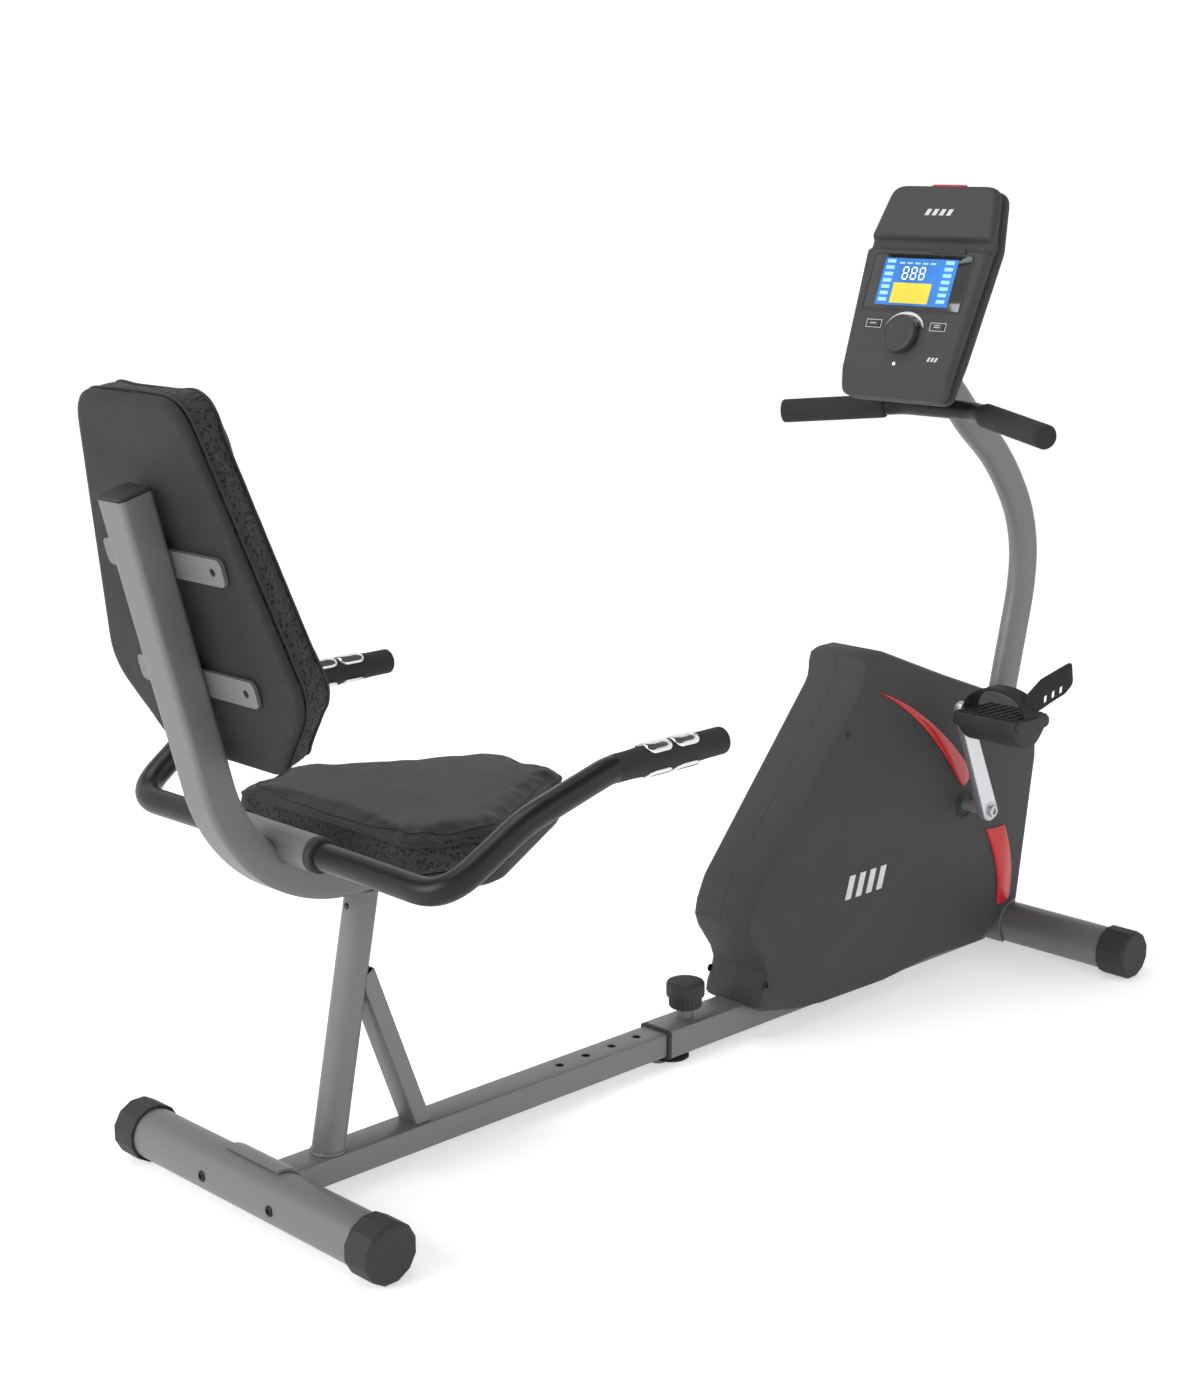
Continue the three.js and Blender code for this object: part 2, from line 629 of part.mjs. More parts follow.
function backrest() {
  const shape = (inset) => {
    const foot = BACK_FOOT + inset;
    const top = BACK_FOOT + BACK_HEIGHT - inset;
    const half = [
      [BACK_HALF_FOOT - inset / 2, foot, 30],
      [BACK_HALF_WIDE - inset, BACK_FOOT + BACK_WIDEST_AT, 62],
      [BACK_HALF_TOP - inset, top, 42],
    ];
    return outline([...half, ...half.map(([y, z, r]) => [-y, z, r]).reverse()]);
  };
  // The outline is drawn in y and z and thickened along x.
  const layer = (inset, x0, x1, bevel, options) =>
    slab(shape(inset), x0, x1, bevel, options).rotateX(Math.PI / 2).rotateZ(Math.PI / 2);
  let x = SPINE_DEPTH / 2 + GAP;
  for (const [level, z] of Object.entries(BRACKET_HEIGHTS)) {
    const bar = roundedRect(BRACKET_LENGTH, BRACKET_HEIGHT, 9);
    for (const sign of [-1, 1]) {
      const hole = new THREE.Path();
      hole.absarc(sign * BRACKET_HOLE_Y, 0, BRACKET_HOLE_R, 0, 2 * Math.PI, false);
      bar.holes.push(hole);
    }
    const strip = slab(bar, x, x + BRACKET_THICKNESS, 0, { curve: 5 });
    strip.rotateX(Math.PI / 2).rotateZ(Math.PI / 2).translate(0, 0, z);
    add(`back_bracket_${level}`, strip, FRAME_PAINT, back);
  }
  x += BRACKET_THICKNESS + GAP;
  add("back_board", layer(BOARD_INSET, x, x + BACK_BOARD, 2, { segments: 1, curve: 3 }), BOARD, back);
  x += BACK_BOARD + GAP;
  add("back_cushion", layer(0, x, x + BACK_THICKNESS, 14, { segments: 2, curve: 4 }), VINYL, back);
}

seat();
backrest();

// ---------------------------------------------------------------- seat handlebar
function seatHandlebar() {
  const half = BAR_SLEEVE_LENGTH / 2;
  const tube = alongY(ring(BAR_SLEEVE_R, SEAT_BAR_R + GAP, -half, half));
  add("handlebar_sleeve", tube.translate(BAR_AT.x, 0, BAR_AT.z), FRAME_PAINT);
  const arm = (sign) => [
    at(SEAT_GRIP_TIP, sign * SEAT_GRIP_HALF, SEAT_GRIP_Z),
    at(SEAT_GRIP_TIP - 175, sign * SEAT_GRIP_HALF, SEAT_GRIP_Z - 2),
    at(BAR_AT.x + 100, sign * (SEAT_GRIP_HALF - 2), SEAT_GRIP_Z - 34),
    at(BAR_AT.x, sign * (SEAT_GRIP_HALF - 16), BAR_AT.z - 2),
    at(BAR_AT.x, sign * (half + 60), BAR_AT.z),
  ];
  const points = [...arm(-1), ...arm(1).reverse()];
  const path = bentPath(points, [90, 110, 48, 30, 30, 48, 110, 90]);
  const section = wallOf(
    roundSection(SEAT_BAR_R, TUBE),
    roundSection(SEAT_BAR_R - SEAT_BAR_WALL, TUBE / 2),
  );
  add("seat_handlebar", sweep(section, path, 36), FOAM);
  for (const [side, sign] of Object.entries(SIDES)) {
    const inner = SEAT_BAR_R + GAP;
    const shape = new THREE.Shape();
    const spread = THREE.MathUtils.degToRad(58);
    shape.absarc(0, 0, inner + 3, Math.PI / 2 - spread, Math.PI / 2 + spread, false);
    shape.absarc(0, 0, inner, Math.PI / 2 + spread, Math.PI / 2 - spread, true);
    shape.closePath();
    const plate = slab(shape, 0, SENSOR_LENGTH, 0, { curve: 6 });
    plate.rotateX(Math.PI / 2).rotateZ(Math.PI / 2);
    plate.translate(SEAT_GRIP_TIP - SENSOR_FROM_TIP - SENSOR_LENGTH, sign * SEAT_GRIP_HALF, SEAT_GRIP_Z);
    add(`pulse_sensor_${side}`, plate, STEEL);
  }
}

seatHandlebar();

// ---------------------------------------------------------------- mast and front handlebar
const MAST_STEPS = 20;
// Centreline from the sleeve up to the console's rear shell: distance ahead of the front stabiliser, height.
const MAST_LINE = [
  [-MAST_FOOT_BACK, SLEEVE_TOP + GAP],
  [-12, 241],
  [25, 403],
  [41, 467],
  [54, 526],
  [56, 582],
  [44, 630],
  [15, 681],
  [-23, 726],
  [-83, 776],
  [-141, 830],
  [-215, 880],
];

function mastPath() {
  const points = MAST_LINE.map(([ahead, z]) => at(WHEELBASE + ahead, 0, z));
  return new THREE.CatmullRomCurve3(points, false, "centripetal");
}

function mast() {
  const wall = wallOf(
    roundedRect(MAST_WIDTH, MAST_DEPTH, 14),
    roundedRect(MAST_WIDTH - 2 * MAST_WALL, MAST_DEPTH - 2 * MAST_WALL, 12),
  );
  const tube = solid(sweep(wall, mastPath(), MAST_STEPS));
  const above = block(WHEELBASE - 300, WHEELBASE + 200, -50, 50, SLEEVE_TOP + GAP, 1200);
  const bar = solid(sweep(roundSection(FRONT_BAR_R + GAP), frontBarPath(), 14));
  const panel = solid(block(-60, CONSOLE_BACK + GAP, -200, 200, -100, 400).applyMatrix4(consoleFrame));
  add("mast", tube.intersect(solid(above)).subtract(bar).subtract(panel), FRAME_PAINT);
}

function frontBarPath() {
  const tip = FRONT_BAR_HALF;
  const x = WHEELBASE - FRONT_BAR_BACK;
  const points = [
    at(x, -tip, FRONT_BAR_Z),
    at(x + FRONT_BAR_SWEEP, -FRONT_BAR_KNEE, FRONT_BAR_Z + FRONT_BAR_RISE),
    at(x + FRONT_BAR_SWEEP, FRONT_BAR_KNEE, FRONT_BAR_Z + FRONT_BAR_RISE),
    at(x, tip, FRONT_BAR_Z),
  ];
  return bentPath(points, [70, 70]);
}

function frontHandlebar() {
  const path = frontBarPath();
  const wall = wallOf(roundSection(FRONT_BAR_R), roundSection(FRONT_BAR_R - FRONT_BAR_WALL, TUBE / 2));
  add("front_handlebar", sweep(wall, path, 14), FRAME_PAINT);
  for (const [side, sign] of Object.entries(SIDES)) {
    const tip = path.getPointAt(sign < 0 ? 0 : 1);
    const inward = path.getTangentAt(sign < 0 ? 0 : 1).multiplyScalar(sign < 0 ? 1 : -1);
    const turn = new THREE.Quaternion().setFromUnitVectors(at(0, 0, 1), inward);
    const bore = FRONT_BAR_R + GAP;
    const grip = ring(bore + FRONT_GRIP_WALL, bore, -1, FRONT_GRIP_LENGTH, TUBE + 4);
    grip.applyQuaternion(turn).translate(tip.x, tip.y, tip.z);
    add(`front_grip_${side}`, grip, FOAM);
  }
}

// ---------------------------------------------------------------- console
// A frame whose +X points ahead through the panel, +Z up it, with its origin on the panel's
// lower edge.
const consoleFrame = new THREE.Matrix4()
  .makeTranslation(WHEELBASE - CONSOLE_BEHIND, 0, CONSOLE_FOOT_Z)
  .multiply(new THREE.Matrix4().makeRotationY(CONSOLE_LEAN));
const CONSOLE_BACK = 2 * CONSOLE_DEPTH + GAP;
const consoleGroup = new THREE.Group();
consoleGroup.applyMatrix4(consoleFrame);
bike.add(consoleGroup);

function consoleUnit() {
  const shape = (inset) => {
    const half = [
      [CONSOLE_HALF_FOOT - inset, inset, 14],
      [CONSOLE_HALF_WIDE - inset, CONSOLE_HEIGHT * 0.72, 40],
      [CONSOLE_HALF_TOP - inset, CONSOLE_HEIGHT - inset, 24],
    ];
    return outline([...half, ...half.map(([y, z, r]) => [-y, z, r]).reverse()]);
  };
  // Drawn in y and z, thickened along +X from x0 to x1.
  const layer = (drawn, x0, x1, bevel = 0) =>
    slab(drawn, x0, x1, bevel, { segments: 2, curve: 4 }).rotateX(Math.PI / 2).rotateZ(Math.PI / 2);
  const shell = (x0, x1, hollowFrom, hollowTo) =>
    solid(layer(shape(0), x0, x1)).subtract(solid(layer(shape(CONSOLE_WALL), hollowFrom, hollowTo)));
  const seam = CONSOLE_DEPTH;
  let face = shell(0, seam, CONSOLE_WALL, seam + 1);
  const window = layer(roundedRect(LENS_WIDTH + 2 * GAP, LENS_HEIGHT + 2 * GAP, 4), -1, CONSOLE_WALL + 1);
  face = face.subtract(solid(window.translate(0, 0, LENS_AT)));
  const lens = layer(roundedRect(LENS_WIDTH, LENS_HEIGHT, 4), 0.5, CONSOLE_WALL);
  add("console_lens", lens.translate(0, 0, LENS_AT), LENS, consoleGroup);
  const knobHole = alongX(disc(DIAL_STEM_R + RUNNING, -1, CONSOLE_WALL + 1, TUBE)).translate(0, 0, DIAL_AT);
  face = face.subtract(solid(knobHole));
  const dial = turned([
    [0, -DIAL_DEPTH],
    [DIAL_R - 2, -DIAL_DEPTH],
    [DIAL_R, -DIAL_DEPTH + 2],
    [DIAL_R, -RUNNING],
    [DIAL_STEM_R, -RUNNING],
    [DIAL_STEM_R, 9],
    [0, 9],
  ]);
  add("console_dial", alongX(dial).translate(0, 0, DIAL_AT), CAP_PLASTIC, consoleGroup);
  const [width, height] = BUTTON_SIZE;
  for (const [side, sign] of Object.entries(SIDES)) {
    const place = (geometry) => geometry.translate(0, sign * BUTTON_Y, DIAL_AT + BUTTON_ABOVE_DIAL);
    face = face.subtract(solid(place(layer(
      roundedRect(width + 2 * RUNNING, height + 2 * RUNNING, 2), -1, CONSOLE_WALL + 1))));
    const key = place(layer(roundedRect(width, height, 2), -2, BUTTON_DEPTH));
    add(`console_button_${side}`, key, GREY_PLASTIC, consoleGroup);
  }
  const [topWidth, topDepth] = TOP_BUTTON;
  const from = TOP_BUTTON_FROM_FACE;
  const slot = block(from - RUNNING, from + topDepth + RUNNING, -topWidth / 2 - RUNNING,
    topWidth / 2 + RUNNING, CONSOLE_HEIGHT - 12, CONSOLE_HEIGHT + 5);
  const cap = slab(roundedRect(topDepth, topWidth, 4), CONSOLE_HEIGHT - 8, CONSOLE_HEIGHT + 4, 2,
    { segments: 1 });
  add("console_top_button", cap.translate(from + topDepth / 2, 0, 0), RED, consoleGroup);
  add("console_face", face.subtract(solid(slot)), HOUSING_PLASTIC, consoleGroup);
  const rear = shell(seam + GAP, CONSOLE_BACK, seam, CONSOLE_BACK - CONSOLE_WALL);
  add("console_rear", rear.subtract(solid(slot)), HOUSING_PLASTIC, consoleGroup);
}

mast();
frontHandlebar();
consoleUnit();

// ---------------------------------------------------------------- crank axle, pulley and belt
const AXLE_X = WHEELBASE - AXLE_FROM_FRONT;
const FLYWHEEL_X = AXLE_X - FLYWHEEL_BACK;

function bearingShell() {
  const from = -34;
  const to = PULLEY_Y - PULLEY_WIDTH / 2 - 3;
  const shell = alongY(disc(BEARING_SHELL_R, from, to)).translate(AXLE_X, 0, AXLE_Z);
  const web = outline([
    [AXLE_X - 14, AXLE_Z - 6],
    [AXLE_X - 52, SLEEVE_TOP + GAP],
    [AXLE_X + 40, SLEEVE_TOP + GAP],
    [AXLE_X + 14, AXLE_Z - 6],
  ]);
  const bore = alongY(disc(AXLE_R + RUNNING, from - 1, to + 1)).translate(AXLE_X, 0, AXLE_Z);
  const joined = solid(shell).add(solid(sideSlab(web, -34, -26)));
  add("bearing_bracket", joined.subtract(solid(bore)), FRAME_PAINT);
}

function drive() {
  const end = CRANK_Y - 2;
  add("crank_axle", alongY(disc(AXLE_R, -end, end)).translate(AXLE_X, 0, AXLE_Z), STEEL);
  const half = PULLEY_WIDTH / 2;
  const pulley = turned([
    [AXLE_R + GAP, -half - 2],
    [22, -half - 2],
    [22, -3],
    [PULLEY_R - 12, -3],
    [PULLEY_R - 12, -half],
    [PULLEY_R, -half],
    [PULLEY_R, half],
    [PULLEY_R - 12, half],
    [PULLEY_R - 12, 3],
    [22, 3],
    [22, half],
    [AXLE_R + GAP, half],
  ], ROUND + 4);
  add("drive_pulley", alongY(pulley).translate(AXLE_X, PULLEY_Y, AXLE_Z), CAP_PLASTIC);
  add("drive_belt", belt(), RUBBER);
}

// The belt's loop round both pulleys, as an outline with a hole.
function belt() {
  const centre = new THREE.Vector2(AXLE_X, AXLE_Z);
  const small = new THREE.Vector2(FLYWHEEL_X, FLYWHEEL_Z);
  const line = centre.clone().sub(small);
  const distance = line.length();
  const wrap = (grow, shape) => {
    const big = PULLEY_R + grow;
    const little = SMALL_PULLEY_R + grow;
    const heading = line.angle();
    const tangent = Math.acos(-(big - little) / distance);
    shape.absarc(centre.x, centre.y, big, heading - tangent, heading + tangent, false);
    shape.absarc(small.x, small.y, little, heading + tangent, heading - tangent + 2 * Math.PI, false);
    shape.closePath();
    return shape;
  };
  const inner = RUNNING;
  const shape = wrap(inner + BELT_THICKNESS, new THREE.Shape());
  shape.holes.push(wrap(inner, new THREE.Path()));
  const half = BELT_WIDTH / 2;
  return sideSlab(shape, PULLEY_Y - half, PULLEY_Y + half, 0, { curve: 14 });
}

function flywheel() {
  const half = FLYWHEEL_WIDTH / 2;
  const rim = 22;
  const reach = PULLEY_Y - FLYWHEEL_Y;
  const wheel = turned([
    [FLYWHEEL_AXLE_R + RUNNING, -half],
    [24, -half],
    [24, -5],
    [FLYWHEEL_R - rim, -5],
    [FLYWHEEL_R - rim, -half],
    [FLYWHEEL_R, -half],
    [FLYWHEEL_R, half],
    [FLYWHEEL_R - rim, half],
    [FLYWHEEL_R - rim, 5],
    [SMALL_PULLEY_R, 5],
    [SMALL_PULLEY_R, reach + BELT_WIDTH / 2 + 1],
    [FLYWHEEL_AXLE_R + RUNNING, reach + BELT_WIDTH / 2 + 1],
  ], ROUND + 4);
  add("flywheel", alongY(wheel).translate(FLYWHEEL_X, FLYWHEEL_Y, FLYWHEEL_Z), CAST_IRON);
  const end = BRACKET_HALF + BRACKET_PLATE;
  const axle = disc(FLYWHEEL_AXLE_R, -end, end);
  add("flywheel_axle", alongY(axle).translate(FLYWHEEL_X, 0, FLYWHEEL_Z), STEEL);
  const foot = BRACKET_FOOT / 2;
  const base = SLEEVE_TOP + GAP;
  const plate = outline([
    [FLYWHEEL_X - foot, base],
    [FLYWHEEL_X + foot, base],
    [FLYWHEEL_X + 14, FLYWHEEL_Z + 20, 10],
    [FLYWHEEL_X - 14, FLYWHEEL_Z + 20, 10],
  ]);
  let bracket = solid(block(FLYWHEEL_X - foot, FLYWHEEL_X + foot, -end, end, base, base + BRACKET_PLATE));
  for (const sign of [-1, 1]) {
    const [y0, y1] = sign < 0 ? [-end, -BRACKET_HALF] : [BRACKET_HALF, end];
    bracket = bracket.add(solid(sideSlab(plate, y0, y1)));
  }
  const bore = alongY(disc(FLYWHEEL_AXLE_R + GAP, -end - 1, end + 1)).translate(FLYWHEEL_X, 0, FLYWHEEL_Z);
  add("flywheel_bracket", bracket.subtract(solid(bore)), FRAME_PAINT);
}

bearingShell();
drive();
flywheel();

// ---------------------------------------------------------------- cranks and pedals
function crankSet() {
  const inside = CRANK_Y - CRANK_THICKNESS;
  for (const [side, sign] of Object.entries(SIDES)) {
    const angle = sign < 0 ? CRANK_ANGLE : CRANK_ANGLE + Math.PI;
    const eye = new THREE.Vector2(Math.cos(angle), Math.sin(angle)).multiplyScalar(CRANK_LENGTH);
    const square = angle + Math.PI / 2;
    const arm = new THREE.Shape();
    arm.absarc(0, 0, CRANK_HUB_R, square, square + Math.PI, false);
    arm.absarc(eye.x, eye.y, CRANK_EYE_R, square + Math.PI, square + 2 * Math.PI, false);
    arm.closePath();
    for (const [x, y, r] of [[0, 0, AXLE_R + GAP], [eye.x, eye.y, SPINDLE_R + GAP]]) {
      const hole = new THREE.Path();
      hole.absarc(x, y, r, 0, 2 * Math.PI, false);
      arm.holes.push(hole);
    }
    const [y0, y1] = sign < 0 ? [-CRANK_Y, -inside] : [inside, CRANK_Y];
    const crank = sideSlab(arm, y0, y1, 0, { curve: 8 }).translate(AXLE_X, 0, AXLE_Z);
    add(`crank_${side}`, crank, STEEL);
    pedal(side, sign, AXLE_X + eye.x, AXLE_Z + eye.y);
  }
}

// A pedal: its spindle stays with the crank, and its body and strap turn on the spindle.
function pedal(side, sign, x, z) {
  const inner = CRANK_Y + PEDAL_GAP;
  const outer = inner + PEDAL_WIDTH;
  const place = (y0, y1) => (sign < 0 ? [-y1, -y0] : [y0, y1]);
  const spindle = alongY(disc(SPINDLE_R, ...place(CRANK_Y - CRANK_THICKNESS + 1, outer - 10), TUBE));
  add(`pedal_spindle_${side}`, spindle.translate(x, 0, z), STEEL);
  const half = PEDAL_HALF_LENGTH;
  const top = PEDAL_THICKNESS / 2;
  const tread = new THREE.Shape();
  tread.moveTo(-half, top);
  tread.lineTo(-half, -top);
  tread.quadraticCurveTo(0, -top - 34, half, -top);
  tread.lineTo(half, top);
  tread.closePath();
  const body = solid(sideSlab(tread, ...place(inner, outer), 0, { curve: 8 }));
  const bore = alongY(disc(SPINDLE_R + RUNNING, ...place(inner - 1, outer - 9), TUBE));
  add(`pedal_${side}`, body.subtract(solid(bore)).translate([x, 0, z]), CAP_PLASTIC);
  const reach = PEDAL_WIDTH / 2 - 2;
  const middle = (inner + outer) / 2;
  const arch = new THREE.Shape();
  arch.moveTo(-reach, 0);
  arch.bezierCurveTo(-reach, STRAP_RISE * 1.3, reach, STRAP_RISE * 1.3, reach, 0);
  arch.lineTo(reach - STRAP_THICKNESS, 0);
  const low = STRAP_RISE * 1.3 - STRAP_THICKNESS * 1.3;
  arch.bezierCurveTo(reach - STRAP_THICKNESS, low, STRAP_THICKNESS - reach, low,
    STRAP_THICKNESS - reach, 0);
  arch.closePath();
  const strap = slab(arch, -STRAP_WIDTH / 2, STRAP_WIDTH / 2, 0, { curve: 8 });
  strap.rotateX(Math.PI / 2).rotateZ(Math.PI / 2);
  add(`pedal_strap_${side}`, strap.translate(x, sign * middle, z + top + GAP), RUBBER);
}

crankSet();

// ---------------------------------------------------------------- housing
// The shells' outline, with its rear lobe round the flywheel.
const HOUSING_REAR = FLYWHEEL_X - FLYWHEEL_R - FLYWHEEL_ROOM;
const HOUSING_OUTLINE = [
  [HOUSING_REAR + 20, 42, 18],
  [HOUSING_REAR + 48, 92, 30],
  [HOUSING_REAR, 160, 40],
  [HOUSING_REAR + 24, 212, 40],
  [WHEELBASE - 366, 450, 30],
  [WHEELBASE - 366, 489, 20],
  [WHEELBASE - 320, 490, 24],
  [WHEELBASE - 182, 436, 60],
  [WHEELBASE - 8, 372, 60],
  [WHEELBASE + 44, 300, 50],
  [WHEELBASE + 8, 66],
  [WHEELBASE - 38, 52],
  [WHEELBASE - 76, 21],
  [WHEELBASE - 198, 25, 60],
  [WHEELBASE - 305, 17, 60],
  [WHEELBASE - 437, 19, 60],
  [HOUSING_REAR + 106, 24, 30],
];

function housing() {
  const outer = outline(HOUSING_OUTLINE);
  const full = solid(sideSlab(outer, -HOUSING_HALF, HOUSING_HALF, HOUSING_BEVEL,
    { segments: 2, curve: 2 }));
  const inside = outline(insetOf(HOUSING_OUTLINE, HOUSING_WALL));
  const depth = HOUSING_HALF - HOUSING_WALL;
  const hollow = sideSlab(inside, -depth, depth, HOUSING_BEVEL - 2, { segments: 1, curve: 2 });
  const halfSleeve = SLEEVE_WIDTH / 2 + GAP;
  const tunnel = block(HOUSING_REAR - 44, WHEELBASE, -halfSleeve, halfSleeve, -5, SLEEVE_TOP + GAP);
  const lip = HOUSING_HALF - 8;
  const underside = block(HOUSING_REAR + 86, WHEELBASE - 48, -lip, lip, -5, SLEEVE_TOP);
  const tube = alongY(disc(STABILISER_R + SADDLE_WALL + 2, -100, 100)).translate(WHEELBASE, 0, AXIS_Z);
  const mastHole = sweep(roundedRect(MAST_WIDTH + 3, MAST_DEPTH + 3, 14), mastPath(), MAST_STEPS);
  const port = alongY(disc(HOUSING_PORT_R, -100, 100)).translate(AXLE_X, 0, AXLE_Z);
  let body = full;
  for (const cut of [hollow, tunnel, underside, tube, mastHole, port]) body = body.subtract(solid(cut));
  const seam = GAP / 2;
  for (const [side, sign] of Object.entries(SIDES)) {
    const [y0, y1] = sign < 0 ? [-200, -seam] : [seam, 200];
    add(`housing_${side}`, body.intersect(solid(block(0, 2 * WHEELBASE, y0, y1, -50, 600))), HOUSING_PLASTIC);
    accents(side, sign);
  }
}

// Glossy inlays that lie on the flat of each housing shell.
function accents(side, sign) {
  const y0 = HOUSING_HALF + GAP;
  const y1 = y0 + ACCENT_THICKNESS;
  const range = sign < 0 ? [-y1, -y0] : [y0, y1];
  const front = WHEELBASE;
  const upper = new THREE.Shape();
  upper.moveTo(front - 332, 436);
  upper.quadraticCurveTo(front - 208, 390, front - 122, 300);
  upper.lineTo(front - 138, 268);
  upper.quadraticCurveTo(front - 218, 370, front - 332, 436);
  const lower = new THREE.Shape();
  lower.moveTo(front - 82, 194);
  lower.quadraticCurveTo(front - 56, 188, front - 38, 194);
  lower.quadraticCurveTo(front - 8, 130, front - 20, 82);
  lower.lineTo(front - 48, 74);
  lower.quadraticCurveTo(front - 46, 130, front - 82, 194);
  add(`accent_upper_${side}`, sideSlab(upper, ...range, 0, { curve: 6 }), RED);
  add(`accent_lower_${side}`, sideSlab(lower, ...range, 0, { curve: 6 }), RED);
}

housing();

// ---------------------------------------------------------------- origin
// The middle of the footprint, on the floor.
bike.updateMatrixWorld(true);
const bounds = new THREE.Box3().setFromObject(bike);
const whole = new THREE.Group();
bike.position.set(
  -(bounds.min.x + bounds.max.x) / 2,
  -(bounds.min.y + bounds.max.y) / 2,
  -bounds.min.z,
);
whole.add(bike);

export default whole;
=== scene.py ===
"""A recumbent exercise bike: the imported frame, with every visible piece given its fine surface and finish.

Shapes are worked out in millimetres from the middle of the rear stabiliser on the floor, with +X
forward, +Y to the rider's left and +Z up, and are put into metres in the frame as each mesh is made.
"""

import json
import logging
import math
from dataclasses import dataclass, field
from enum import Enum
from typing import Callable, Iterable, Sequence

import bmesh
import bpy
import numpy as np
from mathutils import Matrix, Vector
from mathutils.bvhtree import BVHTree

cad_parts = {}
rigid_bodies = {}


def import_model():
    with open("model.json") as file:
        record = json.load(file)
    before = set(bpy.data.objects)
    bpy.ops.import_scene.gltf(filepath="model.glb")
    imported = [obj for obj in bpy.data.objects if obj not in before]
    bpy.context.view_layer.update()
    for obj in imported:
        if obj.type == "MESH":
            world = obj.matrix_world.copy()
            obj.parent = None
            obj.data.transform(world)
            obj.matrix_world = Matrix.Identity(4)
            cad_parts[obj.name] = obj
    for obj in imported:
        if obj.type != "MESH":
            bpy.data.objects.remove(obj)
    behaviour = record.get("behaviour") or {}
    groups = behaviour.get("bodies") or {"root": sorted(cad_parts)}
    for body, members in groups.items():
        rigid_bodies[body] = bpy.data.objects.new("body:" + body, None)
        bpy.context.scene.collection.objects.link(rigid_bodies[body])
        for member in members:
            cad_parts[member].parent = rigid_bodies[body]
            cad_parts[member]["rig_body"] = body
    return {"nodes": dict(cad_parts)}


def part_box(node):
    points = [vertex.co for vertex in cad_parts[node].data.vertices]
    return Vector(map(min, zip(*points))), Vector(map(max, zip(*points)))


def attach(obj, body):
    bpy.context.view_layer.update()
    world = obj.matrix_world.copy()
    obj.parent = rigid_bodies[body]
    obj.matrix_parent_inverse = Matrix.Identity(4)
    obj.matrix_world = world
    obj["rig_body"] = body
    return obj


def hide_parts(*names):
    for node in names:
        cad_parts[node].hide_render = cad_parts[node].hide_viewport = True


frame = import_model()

Array = np.ndarray
log = logging.getLogger("bike")

MM = 0.001
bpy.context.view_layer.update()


def middle(node: str) -> Array:
    """Returns the middle of a CAD node's box, in metres."""
    low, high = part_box(node)
    return (np.array(low) + np.array(high)) / 2


REAR_X = float(middle("rear_stabiliser_tube")[0])
FRONT = (float(middle("front_stabiliser_tube")[0]) - REAR_X) / MM
X_AXIS = np.array([1.0, 0.0, 0.0])
Y_AXIS = np.array([0.0, 1.0, 0.0])
Z_AXIS = np.array([0.0, 0.0, 1.0])
SIDES = {"left": 1, "right": -1}


def layout(node: str) -> tuple[Array, Array]:
    """Returns a CAD node's lowest and highest corners in layout millimetres."""
    low, high = (np.array(corner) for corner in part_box(node))
    shift = np.array([REAR_X, 0.0, 0.0])
    return (low - shift) / MM, (high - shift) / MM


# ---------------------------------------------------------------- shader maths
class Val:
    """A shader number: a socket whose arithmetic adds Math nodes."""

    def __init__(self, graph: "Graph", socket: bpy.types.NodeSocket) -> None:
        """Keeps the graph and the socket that holds the number."""
        self.graph = graph
        self.socket = socket

    def maths(self, operation: str, *values: "Val | float") -> "Val":
        """Returns a Math node's result.

        Args:
            operation: The Math node's operation.
            values: Its inputs, in order.
        """
        made = self.graph.node("ShaderNodeMath", {"operation": operation}, dict(enumerate(values)))
        return Val(self.graph, made.outputs[0])

    def __add__(self, other: "Val | float") -> "Val":
        """Sum."""
        return self.maths("ADD", self, other)

    __radd__ = __add__

    def __sub__(self, other: "Val | float") -> "Val":
        """Difference."""
        return self.maths("SUBTRACT", self, other)

    def __rsub__(self, other: float) -> "Val":
        """Difference from a number."""
        return self.maths("SUBTRACT", other, self)

    def __mul__(self, other: "Val | float") -> "Val":
        """Product."""
        return self.maths("MULTIPLY", self, other)

    __rmul__ = __mul__

    def fract(self) -> "Val":
        """Fractional part."""
        return self.maths("FRACT", self)

    def size(self) -> "Val":
        """Absolute value."""
        return self.maths("ABSOLUTE", self)

    def ramp(self, low: float, high: float) -> "Val":
        """Smooth step from 0 at low to 1 at high."""
        made = self.graph.node(
            "ShaderNodeMapRange",
            {"interpolation_type": "SMOOTHSTEP"},
            {0: self, 1: low, 2: high, 3: 0.0, 4: 1.0},
        )
        return Val(self.graph, made.outputs[0])


Colour = tuple[float, float, float]


def shade(colour: Colour, factor: float) -> tuple[float, float, float, float]:
    """Returns a colour times a factor, with full alpha."""
    return (colour[0] * factor, colour[1] * factor, colour[2] * factor, 1.0)


